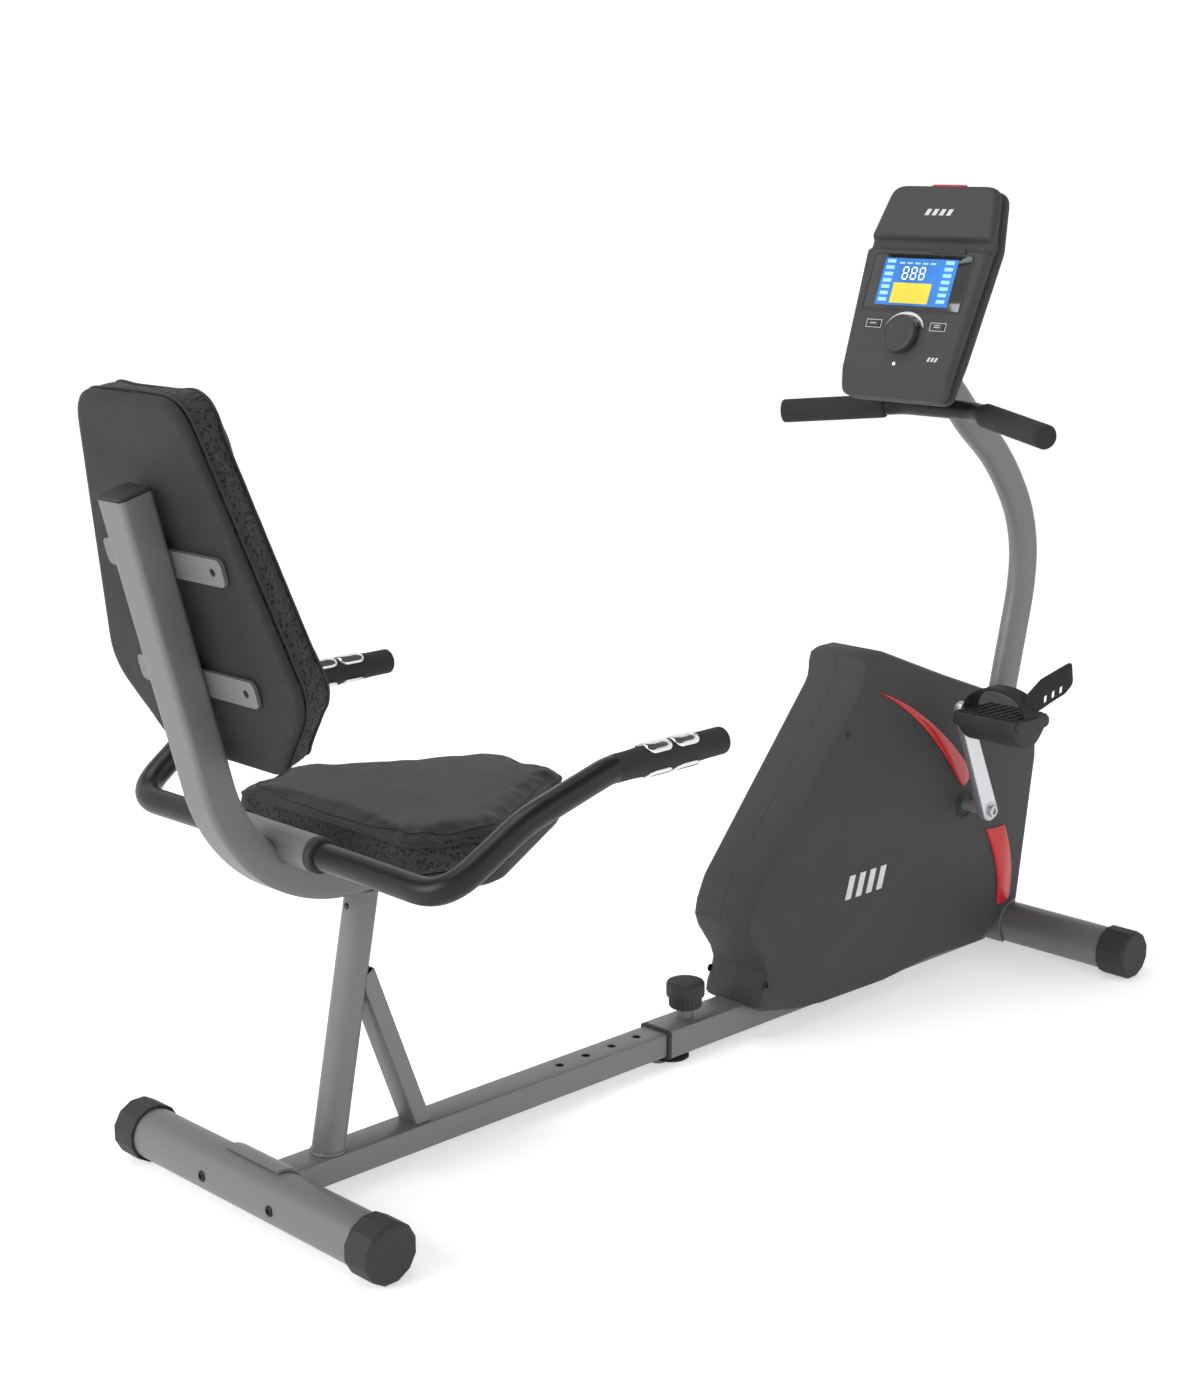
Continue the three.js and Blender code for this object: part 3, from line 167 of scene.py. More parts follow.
class Graph:
    """A material's node graph, built round one Principled shader."""

    def __init__(self, name: str) -> None:
        """Starts an empty material of that name."""
        self.material = bpy.data.materials.new(name)
        self.material.use_nodes = True
        self.tree = self.material.node_tree
        self.tree.nodes.clear()
        self.shader = self.node("ShaderNodeBsdfPrincipled")
        self.node("ShaderNodeOutputMaterial", inputs={"Surface": self.shader.outputs[0]})
        self.place = self.node("ShaderNodeTexCoord").outputs["Object"]

    def node(self, kind: str, settings: dict | None = None, inputs: dict | None = None) -> bpy.types.Node:
        """Adds a node.

        Args:
            kind: The node's type.
            settings: Its own properties, set first.
            inputs: Values or links for its sockets, by name or number.

        Returns:
            The node.
        """
        made = self.tree.nodes.new(kind)
        for key, value in (settings or {}).items():
            setattr(made, key, value)
        for key, value in (inputs or {}).items():
            self.feed(made.inputs[key], value)
        return made

    def feed(self, socket: bpy.types.NodeSocket, value: object) -> None:
        """Links a socket to a value that is itself a socket, or else sets it."""
        source = value.socket if isinstance(value, Val) else value
        if isinstance(source, bpy.types.NodeSocket):
            self.tree.links.new(source, socket)
        else:
            socket.default_value = source

    def stretched(self, scale: Colour) -> bpy.types.NodeSocket:
        """Returns the object coordinates, scaled along each axis."""
        made = self.node("ShaderNodeMapping", inputs={"Vector": self.place, "Scale": scale})
        return made.outputs[0]

    def noise(self, scale: float, detail: float = 3.0, vector: object = None) -> Val:
        """Returns a noise pattern from 0 to 1, with about scale features to a metre."""
        made = self.node(
            "ShaderNodeTexNoise",
            inputs={"Vector": vector or self.place, "Scale": scale, "Detail": detail},
        )
        return Val(self, made.outputs[0])

    def cells(self, scale: float, feature: str = "F1", vector: object = None) -> Val:
        """Returns the distance pattern of a cell texture."""
        made = self.node(
            "ShaderNodeTexVoronoi", {"feature": feature}, {"Vector": vector or self.place, "Scale": scale}
        )
        return Val(self, made.outputs["Distance"])

    def along(self, direction: Sequence[float]) -> Val:
        """Returns the distance along a direction from the frame's origin, in metres."""
        made = self.node(
            "ShaderNodeVectorMath", {"operation": "DOT_PRODUCT"}, {0: self.place, 1: tuple(direction)}
        )
        return Val(self, made.outputs["Value"])

    def mix(self, mask: Val, low: object, high: object) -> bpy.types.NodeSocket:
        """Returns a colour that goes from low to high with the mask."""
        made = self.node("ShaderNodeMix", {"data_type": "RGBA"}, {0: mask, 6: low, 7: high})
        return made.outputs[2]

    def bump(self, height: Val, depth: float, strength: float = 1.0) -> None:
        """Raises the surface by a height pattern times a depth in metres."""
        made = self.node(
            "ShaderNodeBump", inputs={"Height": height, "Distance": depth, "Strength": strength}
        )
        self.feed(self.shader.inputs["Normal"], made.outputs[0])

    def dress(self, **values: object) -> None:
        """Sets or links the shader's sockets; an underscore in a name stands for a space."""
        for key, value in values.items():
            self.feed(self.shader.inputs[key.replace("_", " ")], value)


# ---------------------------------------------------------------- finishes
class Grain(Enum):
    """The kinds of fine surface that the finishes have."""

    PEEL = "orange peel of sprayed powder"
    SPARK = "spark-eroded mould texture"
    LEATHER = "leather grain"
    FOAM = "open foam"
    BRUSHED = "brushed metal"
    CAST = "sand-cast skin"
    SMOOTH = "polished"


@dataclass(frozen=True)
class Finish:
    """A finish with colour variation, roughness variation and a fine grain.

    Roughness is the middle value and spread how far noise moves it.  Worn is the share of the
    surface, in small scattered spots, that has rubbed towards the worn colour.
    """

    name: str
    colour: Colour
    grain: Grain
    rough: float
    spread: float = 0.06
    metal: float = 0.0
    variation: float = 0.15
    coat: float = 0.0
    worn: float = 0.04
    glow: float = 0.0
    gloss: float = 0.3

    def height(self, graph: Graph) -> tuple[Val, float]:
        """Returns the grain's height pattern and its depth in metres."""
        if self.grain is Grain.PEEL:
            return graph.noise(900, 2) + 0.5 * graph.noise(260, 2), 0.00009
        if self.grain is Grain.SPARK:
            return graph.noise(1500, 3) + 0.6 * graph.cells(1100), 0.00016
        if self.grain is Grain.LEATHER:
            creases = graph.cells(420, "DISTANCE_TO_EDGE").ramp(0.0, 0.22)
            return creases + 0.5 * graph.noise(1300, 3) + 1.2 * graph.noise(30, 2), 0.00035
        if self.grain is Grain.FOAM:
            return graph.noise(1800, 4) + 0.7 * graph.cells(1400), 0.0003
        if self.grain is Grain.BRUSHED:
            return graph.noise(60, 4, graph.stretched((1.0, 40.0, 1.0))), 0.00004
        if self.grain is Grain.CAST:
            return graph.noise(420, 6), 0.0005
        return graph.noise(35, 2), 0.00003

    def material(self) -> bpy.types.Material:
        """Returns the finish as a material, made once."""
        found = bpy.data.materials.get(self.name)
        if found:
            return found
        graph = Graph(self.name)
        cloud = graph.noise(9, 4).ramp(0.25, 0.75)
        plain = graph.mix(
            cloud, shade(self.colour, 1 - self.variation), shade(self.colour, 1 + self.variation)
        )
        spots = graph.noise(160, 6).ramp(0.68, 0.74) * self.worn
        lifted = tuple(min(1.0, channel * 1.6 + 0.05) for channel in self.colour)
        rough = graph.noise(24, 5) * (2 * self.spread) + (self.rough - self.spread)
        graph.dress(Base_Color=graph.mix(spots, plain, shade(lifted, 1.0)), Roughness=rough)
        graph.dress(Metallic=self.metal, Coat_Weight=self.coat, Coat_Roughness=0.12)
        graph.dress(Specular_IOR_Level=self.gloss)
        if self.glow:
            graph.dress(Emission_Color=shade(self.colour, 1.0), Emission_Strength=self.glow)
        height, depth = self.height(graph)
        graph.bump(height, depth)
        return graph.material


@dataclass(frozen=True)
class Upholstery:
    """Grained vinyl on the face of a cushion, and open spacer mesh on its side band.

    The band lies where the distance along up is below level, in metres from the frame's origin.
    The face carries short embossed dashes in rows across the cushion.
    """

    name: str
    up: Colour
    level: float
    row: Colour
    colour: Colour = (0.021, 0.021, 0.0225)
    band: Colour = (0.014, 0.014, 0.0155)

    def material(self) -> bpy.types.Material:
        """Returns the upholstery as a material."""
        graph = Graph(self.name)
        face = graph.along(self.up).ramp(self.level - 0.0015, self.level + 0.0015)
        holes = graph.cells(210).ramp(0.20, 0.52)
        thread = graph.noise(900, 3)
        creases = graph.cells(380, "DISTANCE_TO_EDGE").ramp(0.0, 0.25)
        across = ((graph.along((0, 1, 0)) * 16.0).fract() - 0.5).size().ramp(0.16, 0.13)
        rows = ((graph.along(self.row) * 19.0).fract() - 0.5).size().ramp(0.045, 0.025)
        dashes = across * rows
        cloud = graph.noise(11, 4).ramp(0.3, 0.7)
        vinyl = graph.mix(cloud, shade(self.colour, 0.88), shade(self.colour, 1.12))
        marked = graph.mix(dashes * 0.45, vinyl, shade(self.colour, 1.9))
        net = graph.mix(holes, shade(self.band, 0.35), shade(self.band, 2.1))
        graph.dress(Base_Color=graph.mix(face, net, marked))
        graph.dress(Roughness=0.72 - 0.12 * face + 0.12 * (graph.noise(40, 4) - 0.5))
        graph.dress(Sheen_Weight=0.05, Sheen_Roughness=0.5, Specular_IOR_Level=0.25)
        smooth = 0.35 * creases + 0.25 * thread - 0.9 * dashes + 1.5 * graph.noise(22, 2)
        open_net = 1.6 * holes + 0.4 * thread
        graph.bump(smooth * face + open_net * (1 - face), 0.0007)
        return graph.material


PAINT = Finish("frame_paint", (0.036, 0.036, 0.038), Grain.PEEL, 0.42, metal=0.3, variation=0.08)
HOUSING = Finish("housing_plastic", (0.0065, 0.0065, 0.0072), Grain.SPARK, 0.48, spread=0.05)
CAP = Finish("cap_plastic", (0.011, 0.011, 0.0115), Grain.SPARK, 0.42)
FOAM = Finish("grip_foam", (0.010, 0.010, 0.0105), Grain.FOAM, 0.62)
BLACK = Finish("bar_black", (0.012, 0.012, 0.0125), Grain.PEEL, 0.34, metal=0.1)
BOARD = Finish("board", (0.016, 0.016, 0.017), Grain.LEATHER, 0.62)
SHELL = Finish("back_shell", (0.016, 0.016, 0.017), Grain.LEATHER, 0.55, variation=0.2)
STEEL = Finish("steel", (0.60, 0.61, 0.63), Grain.BRUSHED, 0.30, metal=1.0, variation=0.06)
ZINC = Finish("fastener", (0.50, 0.51, 0.53), Grain.CAST, 0.32, metal=1.0, variation=0.1)
DARK_BOLT = Finish("dark_bolt", (0.02, 0.02, 0.021), Grain.CAST, 0.38, metal=0.6)
BRIGHT = Finish("sensor_plate", (0.83, 0.84, 0.86), Grain.SMOOTH, 0.22, metal=0.85, variation=0.04)
IRON = Finish("cast_iron", (0.09, 0.09, 0.10), Grain.CAST, 0.5, metal=0.7)
RED = Finish("red_gloss", (0.52, 0.008, 0.014), Grain.SMOOTH, 0.16, coat=0.6, variation=0.12)
RUBBER = Finish("rubber", (0.012, 0.012, 0.0125), Grain.FOAM, 0.5)
GLASS_BLACK = Finish("display_window", (0.006, 0.007, 0.009), Grain.SMOOTH, 0.08, coat=0.8)
KEY_GREY = Finish("grey_key", (0.035, 0.035, 0.037), Grain.SPARK, 0.4)
PRINT = Finish("print", (0.62, 0.62, 0.64), Grain.SMOOTH, 0.3, metal=0.3, variation=0.08)
LCD_BLUE = Finish("lcd_blue", (0.03, 0.15, 0.45), Grain.SMOOTH, 0.2, glow=0.45, variation=0.35)
LCD_PALE = Finish("lcd_pale", (0.26, 0.50, 0.78), Grain.SMOOTH, 0.2, glow=0.4)
LCD_WHITE = Finish("lcd_white", (0.80, 0.88, 0.95), Grain.SMOOTH, 0.2, glow=0.5)
LCD_YELLOW = Finish("lcd_yellow", (0.60, 0.48, 0.05), Grain.SMOOTH, 0.2, glow=0.4)


# ---------------------------------------------------------------- forms
@dataclass
class Form:
    """A closed surface: points in layout millimetres, and faces as lists of their numbers."""

    points: Array
    faces: list

    def __add__(self, other: "Form") -> "Form":
        """Returns both surfaces as one form."""
        start = len(self.points)
        moved = [[index + start for index in face] for face in other.faces]
        return Form(np.vstack([self.points, other.points]), self.faces + moved)


def together(forms: Iterable[Form]) -> Form:
    """Returns several forms as one."""
    parts = list(forms)
    whole = parts[0]
    for part in parts[1:]:
        whole = whole + part
    return whole


@dataclass(frozen=True)
class Axes:
    """A place to draw in: an origin and the directions of its u, v and w."""

    origin: tuple
    u: tuple
    v: tuple
    w: tuple

    def map(self, points: Array) -> Array:
        """Returns points given in u, v and w as layout points."""
        return np.array(self.origin) + points @ np.array([self.u, self.v, self.w], float)


SIDE_ON = Axes((0, 0, 0), (1, 0, 0), (0, 0, 1), (0, 1, 0))
FROM_ABOVE = Axes((0, 0, 0), (1, 0, 0), (0, 1, 0), (0, 0, 1))


def loft(rings: Array, wrap: bool = False) -> Form:
    """Skins a stack of closed rings with quads.

    Ring i's point j joins ring i + 1's point j, and each ring closes on itself.

    Args:
        rings: The rings, as stations by points by three.
        wrap: Whether the last ring joins the first; if not, flat caps close both ends.
    """
    stations, count, _ = rings.shape
    i, j = np.meshgrid(np.arange(stations if wrap else stations - 1), np.arange(count), indexing="ij")
    after, beside = (i + 1) % stations, (j + 1) % count
    quads = np.stack([i * count + j, i * count + beside, after * count + beside, after * count + j], -1)
    faces = quads.reshape(-1, 4).tolist()
    if not wrap:
        faces.append(list(range(count)))
        faces.append(list(range((stations - 1) * count, stations * count)))
    return Form(rings.reshape(-1, 3), faces)


def circle(radius: float, sides: int = 48) -> Array:
    """Returns a circle's points: radius times the cosine and sine of even angles."""
    angle = np.arange(sides) / sides * 2 * np.pi
    return radius * np.stack([np.cos(angle), np.sin(angle)], 1)


def outline(corners: Sequence[Sequence[float]], steps: int = 10) -> Array:
    """Rounds a polygon's corners.

    Each corner with a radius becomes a quadratic curve that leaves its two sides where an arc of
    that radius would touch them.

    Args:
        corners: Points as x, y and an optional radius.
        steps: Points along each curve.
    """
    places = np.array([corner[:2] for corner in corners], float)
    along = np.linspace(0, 1, steps)[:, None]
    pieces = []
    for index, corner in enumerate(corners):
        here = places[index]
        radius = corner[2] if len(corner) > 2 else 0
        if not radius:
            pieces.append(here[None])
            continue
        back, on = places[index - 1] - here, places[(index + 1) % len(corners)] - here
        back, on = back / np.linalg.norm(back), on / np.linalg.norm(on)
        half = math.acos(float(np.clip(back @ on, -1, 1))) / 2
        start, end = here + back * radius / math.tan(half), here + on * radius / math.tan(half)
        pieces.append((1 - along) ** 2 * start + 2 * along * (1 - along) * here + along**2 * end)
    return np.vstack(pieces)


def respaced(loop: Array, count: int) -> Array:
    """Returns a closed loop as count points evenly spaced along it."""
    closed = np.vstack([loop, loop[:1]])
    run = np.concatenate([[0], np.cumsum(np.linalg.norm(np.diff(closed, axis=0), axis=1))])
    places = np.linspace(0, run[-1], count, endpoint=False)
    return np.stack([np.interp(places, run, closed[:, axis]) for axis in range(closed.shape[1])], 1)


def inward(loop: Array) -> Array:
    """Returns the inward unit normal at each point of a closed flat loop."""
    ahead = np.roll(loop, -1, 0) - np.roll(loop, 1, 0)
    normal = np.stack([-ahead[:, 1], ahead[:, 0]], 1)
    normal /= np.maximum(np.linalg.norm(normal, axis=1, keepdims=True), 1e-9)
    doubled = loop[:, 0] * np.roll(loop[:, 1], -1) - np.roll(loop[:, 0], -1) * loop[:, 1]
    return normal * np.sign(doubled.sum())


def slab(loop: Array, profile: Sequence[Sequence[float]], axes: Axes) -> Form:
    """Thickens a flat loop: each profile entry is an inset of the loop and its height along w."""
    normal = inward(loop)
    rings = [
        np.column_stack([loop + normal * inset, np.full(len(loop), height)]) for inset, height in profile
    ]
    return loft(axes.map(np.array(rings)))


def eased(low: float, high: float, radius: float, steps: int = 4) -> list[tuple[float, float]]:
    """Returns a slab profile from low to high with both edges rounded by quarter circles."""
    angle = np.linspace(0, np.pi / 2, steps + 1)
    inset = radius * (1 - np.sin(angle))
    rise = radius * (1 - np.cos(angle))
    up = list(zip(inset, low + rise))
    down = list(zip(inset[::-1], high - rise[::-1]))
    return [*up, *down]


def rounded_rectangle(width: float, height: float, radius: float, steps: int = 7) -> Array:
    """Returns a rounded rectangle about the origin, with true quarter-circle corners."""
    angle = np.linspace(0, np.pi / 2, steps)
    middles = [(1, 1, 0), (-1, 1, 1), (-1, -1, 2), (1, -1, 3)]
    parts = []
    for right, up, quarter in middles:
        turned = angle + quarter * np.pi / 2
        centre = np.array([right * (width / 2 - radius), up * (height / 2 - radius)])
        parts.append(centre + radius * np.stack([np.cos(turned), np.sin(turned)], 1))
    return np.vstack(parts)


def carried(path: Array, section: Array, up: Array, scales: Array | None = None) -> Array:
    """Carries a section along a path.

    At each station the section's first direction is the cross product of up and the path's
    tangent, and its second is the tangent's cross product with that.

    Args:
        path: The stations.
        section: The section's points.
        up: A direction that the path never takes.
        scales: The section's size at each station, one value or one for each direction.
    """
    tangent = np.gradient(path, axis=0)
    tangent /= np.linalg.norm(tangent, axis=1, keepdims=True)
    first = np.cross(up, tangent)
    first /= np.linalg.norm(first, axis=1, keepdims=True)
    second = np.cross(tangent, first)
    if scales is None:
        scales = np.ones(len(path))
    scales = scales[:, None] * np.ones(2) if scales.ndim == 1 else scales
    wide = section[None, :, 0, None] * scales[:, None, :1]
    high = section[None, :, 1, None] * scales[:, None, 1:]
    return path[:, None] + wide * first[:, None] + high * second[:, None]


def round_ends(path: Array, radius: float, ease: float, steps: int = 5) -> tuple[Array, Array]:
    """Adds stations that round both ends of a tube.

    The tube's radius drops by ease times one less the cosine of an angle, while the station stays
    ease times one less its sine inside the end.

    Returns:
        The stations, and the section's size at each.
    """
    angle = np.linspace(np.pi / 2, 0, steps, endpoint=False)
    drop = 1 - ease * (1 - np.cos(angle)) / radius
    first = (path[0] - path[1]) / np.linalg.norm(path[0] - path[1])
    last = (path[-1] - path[-2]) / np.linalg.norm(path[-1] - path[-2])
    head = path[0] - first * ease + first * (ease * np.sin(angle))[:, None]
    tail = path[-1] - last * ease + last * (ease * np.sin(angle[::-1]))[:, None]
    keep = [np.linalg.norm(path - end, axis=1) > 1.3 * ease for end in (path[0], path[-1])]
    inner = path[keep[0] & keep[1]]
    inside = [(path[0] - first * ease)[None], inner, (path[-1] - last * ease)[None]]
    stations = np.vstack([head, *inside, tail])
    sizes = np.concatenate([drop, np.ones(len(inner) + 2), drop[::-1]])
    return stations, sizes


def rod(path: Array, radius: float, up: Array, ease: float = 2.0, sides: int = 40) -> Form:
    """Returns a solid round bar along a path, with rounded ends."""
    stations, sizes = round_ends(path, radius, ease)
    return loft(carried(stations, circle(radius, sides), up, sizes))


def turned(profile: Sequence[Sequence[float]], origin: Array, axis: Array, sides: int = 64,
           fluting: Callable[[Array, Array], Array] | None = None) -> Form:
    """Turns a profile about an axis.

    Args:
        profile: Radius and distance along the axis, from one end to the other.
        origin: Where the axis starts.
        axis: Its direction.
        sides: Points round it.
        fluting: A factor on the radius, from the angle and the profile's index.
    """
    shape = np.array(profile, float)
    helper = Z_AXIS if abs(axis[2]) < 0.9 else X_AXIS
    first = np.cross(helper, axis)
    first /= np.linalg.norm(first)
    second = np.cross(axis, first)
    angle = np.arange(sides) / sides * 2 * np.pi
    radius = np.maximum(shape[:, :1], 0.02) * np.ones(sides)
    if fluting:
        radius = radius * fluting(angle[None], np.arange(len(shape))[:, None])
    spokes = np.cos(angle)[:, None] * first + np.sin(angle)[:, None] * second
    return loft(origin + radius[..., None] * spokes + (shape[:, 1:] * axis)[:, None])


def straight(start: Sequence[float], end: Sequence[float], steps: int = 12) -> Array:
    """Returns points evenly spaced along a line."""
    return np.linspace(np.array(start, float), np.array(end, float), steps)


def bent(points: Sequence[Sequence[float]], radii: Sequence[float], steps: int = 12) -> Array:
    """Returns a path of straight runs with a quadratic curve at each inner point."""
    places = np.array(points, float)
    along = np.linspace(0, 1, steps)[:, None]
    parts, start = [], places[0]
    for index, radius in enumerate(radii, 1):
        here = places[index]
        back = (places[index - 1] - here) / np.linalg.norm(places[index - 1] - here)
        on = (places[index + 1] - here) / np.linalg.norm(places[index + 1] - here)
        reach = radius / math.tan(math.acos(float(np.clip(back @ on, -1, 1))) / 2)
        into, out = here + back * reach, here + on * reach
        parts.append(start + (into - start) * along[:-1])
        parts.append((1 - along[:-1]) ** 2 * into + 2 * along[:-1] * (1 - along[:-1]) * here
                     + along[:-1] ** 2 * out)
        start = out
    parts.append(start + (places[-1] - start) * along)
    return np.vstack(parts)


def spline(points: Sequence[Sequence[float]], steps: int = 12) -> Array:
    """Returns a smooth path through points: a cubic Hermite curve on chord length, whose slope at
    each point is the difference of its neighbours over their distance."""
    places = np.array(points, float)
    run = np.concatenate([[0], np.cumsum(np.linalg.norm(np.diff(places, axis=0), axis=1))])
    slope = np.gradient(places, run, axis=0)
    parts = []
    share = np.linspace(0, 1, steps, endpoint=False)[:, None]
    for index in range(len(places) - 1):
        span = run[index + 1] - run[index]
        parts.append(
            (2 * share**3 - 3 * share**2 + 1) * places[index]
            + (share**3 - 2 * share**2 + share) * span * slope[index]
            + (3 * share**2 - 2 * share**3) * places[index + 1]
            + (share**3 - share**2) * span * slope[index + 1]
        )
    parts.append(places[-1:])
    return np.vstack(parts)


def in_metres(points: Array) -> Array:
    """Returns layout millimetres as metres in the frame."""
    return points * MM + np.array([REAR_X, 0.0, 0.0])


def mesh_of(form: Form) -> bpy.types.Mesh:
    """Returns a form as a mesh with its faces pointing out."""
    mesh = bpy.data.meshes.new("form")
    mesh.from_pydata(in_metres(form.points), [], form.faces)
    work = bmesh.new()
    work.from_mesh(mesh)
    bmesh.ops.recalc_face_normals(work, faces=work.faces)
    work.to_mesh(mesh)
    work.free()
    return mesh


def new_object(name: str, mesh: bpy.types.Mesh) -> bpy.types.Object:
    """Returns a linked object that shows a mesh."""
    made = bpy.data.objects.new(name, mesh)
    mesh.name = name
    bpy.context.scene.collection.objects.link(made)
    return made


def settled(source: bpy.types.Object) -> bpy.types.Mesh:
    """Returns an object's mesh with its modifiers applied."""
    graph = bpy.context.evaluated_depsgraph_get()
    return bpy.data.meshes.new_from_object(source.evaluated_get(graph), depsgraph=graph)


def smooth(mesh: bpy.types.Mesh, angle: float) -> None:
    """Shades a mesh smooth, with edges sharper than the angle in degrees left sharp."""
    mesh.polygons.foreach_set("use_smooth", [True] * len(mesh.polygons))
    mesh.set_sharp_from_angle(angle=math.radians(angle))


def finished(name: str, shape: Form | bpy.types.Mesh, look: bpy.types.Material, body: str,
             replaces: Sequence[str] = (), angle: float = 38.0) -> bpy.types.Object:
    """Makes a finished piece.

    Args:
        name: The piece's name.
        shape: Its form, or its mesh if it is made already.
        look: Its material.
        body: The body that it rides on.
        replaces: The CAD nodes that it stands for.
        angle: Edges sharper than this, in degrees, stay sharp.

    Returns:
        The piece.
    """
    mesh = mesh_of(shape) if isinstance(shape, Form) else shape
    smooth(mesh, angle)
    mesh.materials.clear()
    mesh.materials.append(look)
    made = new_object(name, mesh)
    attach(made, body)
    if replaces:
        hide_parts(*replaces)
    log.info("%s: %d faces", name, len(mesh.polygons))
    return made


def cut(shape: Form, cutters: Sequence[Form]) -> bpy.types.Mesh:
    """Returns a form with others cut out of it."""
    base = new_object("cut_base", mesh_of(shape))
    tools = [new_object("cutter", mesh_of(cutter)) for cutter in cutters]
    for tool in tools:
        modifier = base.modifiers.new("cut", "BOOLEAN")
        modifier.object = tool
        modifier.operation = "DIFFERENCE"
        modifier.solver = "EXACT"
    result = settled(base)
    for item in [base, *tools]:
        bpy.data.objects.remove(item)
    return result


def refined(node: str, look: bpy.types.Material, width: float = 0.8,
            angle: float = 25.0) -> bpy.types.Object:
    """Makes a piece from a CAD node's own shape, with its flat faces joined and its edges rounded.

    Args:
        node: The CAD node.
        look: The piece's material.
        width: The rounding, in millimetres.
        angle: Edges sharper than this, in degrees, are rounded.
    """
    mesh = frame["nodes"][node].data.copy()
    work = bmesh.new()
    work.from_mesh(mesh)
    bmesh.ops.remove_doubles(work, verts=work.verts, dist=2e-6)
    bmesh.ops.dissolve_limit(work, angle_limit=math.radians(0.8), verts=work.verts, edges=work.edges)
    work.to_mesh(mesh)
    work.free()
    if "custom_normal" in mesh.attributes:
        mesh.attributes.remove(mesh.attributes["custom_normal"])
    body = str(frame["nodes"][node]["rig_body"])
    made = finished(f"{node}_shape", mesh, look, body, [node], angle)
    rounding = made.modifiers.new("rounding", "BEVEL")
    rounding.width = width * MM
    rounding.segments = 3
    rounding.limit_method = "ANGLE"
    rounding.angle_limit = math.radians(angle)
    rounding.use_clamp_overlap = True
    rounding.harden_normals = True
    return made


def inflated(form: Form, voxel: float, pressure: float, cap: float, resting: Callable[[Array], Array]
             ) -> bpy.types.Mesh:
    """Blows a cushion's form up as cloth and returns its mesh.

    The form is remeshed in even voxels, filled with pressure while the points that rest on the
    board are held, and no point moves further than the cap.

    Args:
        form: The cushion's form, a little smaller than the finished cushion.
        voxel: The voxels' size in millimetres.
        pressure: The pressure inside it.
        cap: The furthest that a point may move, in millimetres.
        resting: Says which layout points rest on the board, as 0 or 1.
    """
    raw = new_object("raw_cushion", mesh_of(form))
    remesh = raw.modifiers.new("remesh", "REMESH")
    remesh.mode = "VOXEL"
    remesh.voxel_size = voxel * MM
    pad = new_object("pad", settled(raw))
    bpy.data.objects.remove(raw)
    count = len(pad.data.vertices)
    rest = np.zeros(count * 3)
    pad.data.vertices.foreach_get("co", rest)
    rest = rest.reshape(-1, 3)
    held = resting((rest - np.array([REAR_X, 0.0, 0.0])) / MM)
    group = pad.vertex_groups.new(name="held")
    group.add([int(index) for index in np.nonzero(held)[0]], 1.0, "REPLACE")
    cloth = pad.modifiers.new("cloth", "CLOTH")
    cloth.settings.quality = 5
    cloth.settings.mass = 0.3
    cloth.settings.tension_stiffness = 25
    cloth.settings.compression_stiffness = 25
    cloth.settings.bending_stiffness = 1.5
    cloth.settings.use_pressure = True
    cloth.settings.uniform_pressure_force = pressure
    cloth.settings.effector_weights.gravity = 0
    cloth.settings.vertex_group_mass = "held"
    for step in range(1, 21):
        bpy.context.scene.frame_set(step)
    blown = settled(pad)
    ends = np.zeros(count * 3)
    blown.vertices.foreach_get("co", ends)
    move = ends.reshape(-1, 3) - rest
    length = np.linalg.norm(move, axis=1, keepdims=True)
    move *= np.minimum(1.0, cap * MM / np.maximum(length, 1e-9))
    blown.vertices.foreach_set("co", (rest + move).ravel())
    blown.update()
    bpy.data.objects.remove(pad)
    bpy.context.scene.frame_set(1)
    return blown


def soft_piece(name: str, mesh: bpy.types.Mesh, look: bpy.types.Material, body: str, node: str) -> bpy.types.Object:
    made = finished(name, mesh, look, body, [node], 180.0)
    fine = made.modifiers.new("fine", "SUBSURF")
    fine.levels = 1
    fine.render_levels = 1
    return made


def on_surface(mesh: bpy.types.Mesh, path: Array, lift: float) -> Array:
    """Returns a path moved to the nearest places on a mesh, lifted off it along its normals."""
    tree = BVHTree.FromPolygons([v.co for v in mesh.vertices], [list(p.vertices) for p in mesh.polygons])
    hits = [tree.find_nearest(Vector(point)) for point in in_metres(path)]
    places = np.array([hit[0] for hit in hits]) + np.array([hit[1] for hit in hits]) * lift * MM
    kernel = np.array([1, 2, 3, 2, 1]) / 9
    wrapped = np.vstack([places[-2:], places, places[:2]])
    eased_places = np.stack([np.convolve(wrapped[:, axis], kernel, "valid") for axis in range(3)], 1)
    return (eased_places - np.array([REAR_X, 0.0, 0.0])) / MM


def piping(mesh: bpy.types.Mesh, path: Array, radius: float, lift: float) -> Form:
    """Returns a sewn cord that lies on a mesh along a closed path: a small circle carried round it,
    with its first direction the path's own outward normal."""
    line = on_surface(mesh, path, lift)
    tangent = np.roll(line, -1, 0) - np.roll(line, 1, 0)
    tangent /= np.linalg.norm(tangent, axis=1, keepdims=True)
    outward = line - line.mean(0)
    first = outward - (outward * tangent).sum(1, keepdims=True) * tangent
    first /= np.linalg.norm(first, axis=1, keepdims=True)
    second = np.cross(tangent, first)
    ring = circle(radius, 10)
    rings = line[:, None] + ring[None, :, :1] * first[:, None] + ring[None, :, 1:] * second[:, None]
    return loft(rings, wrap=True)


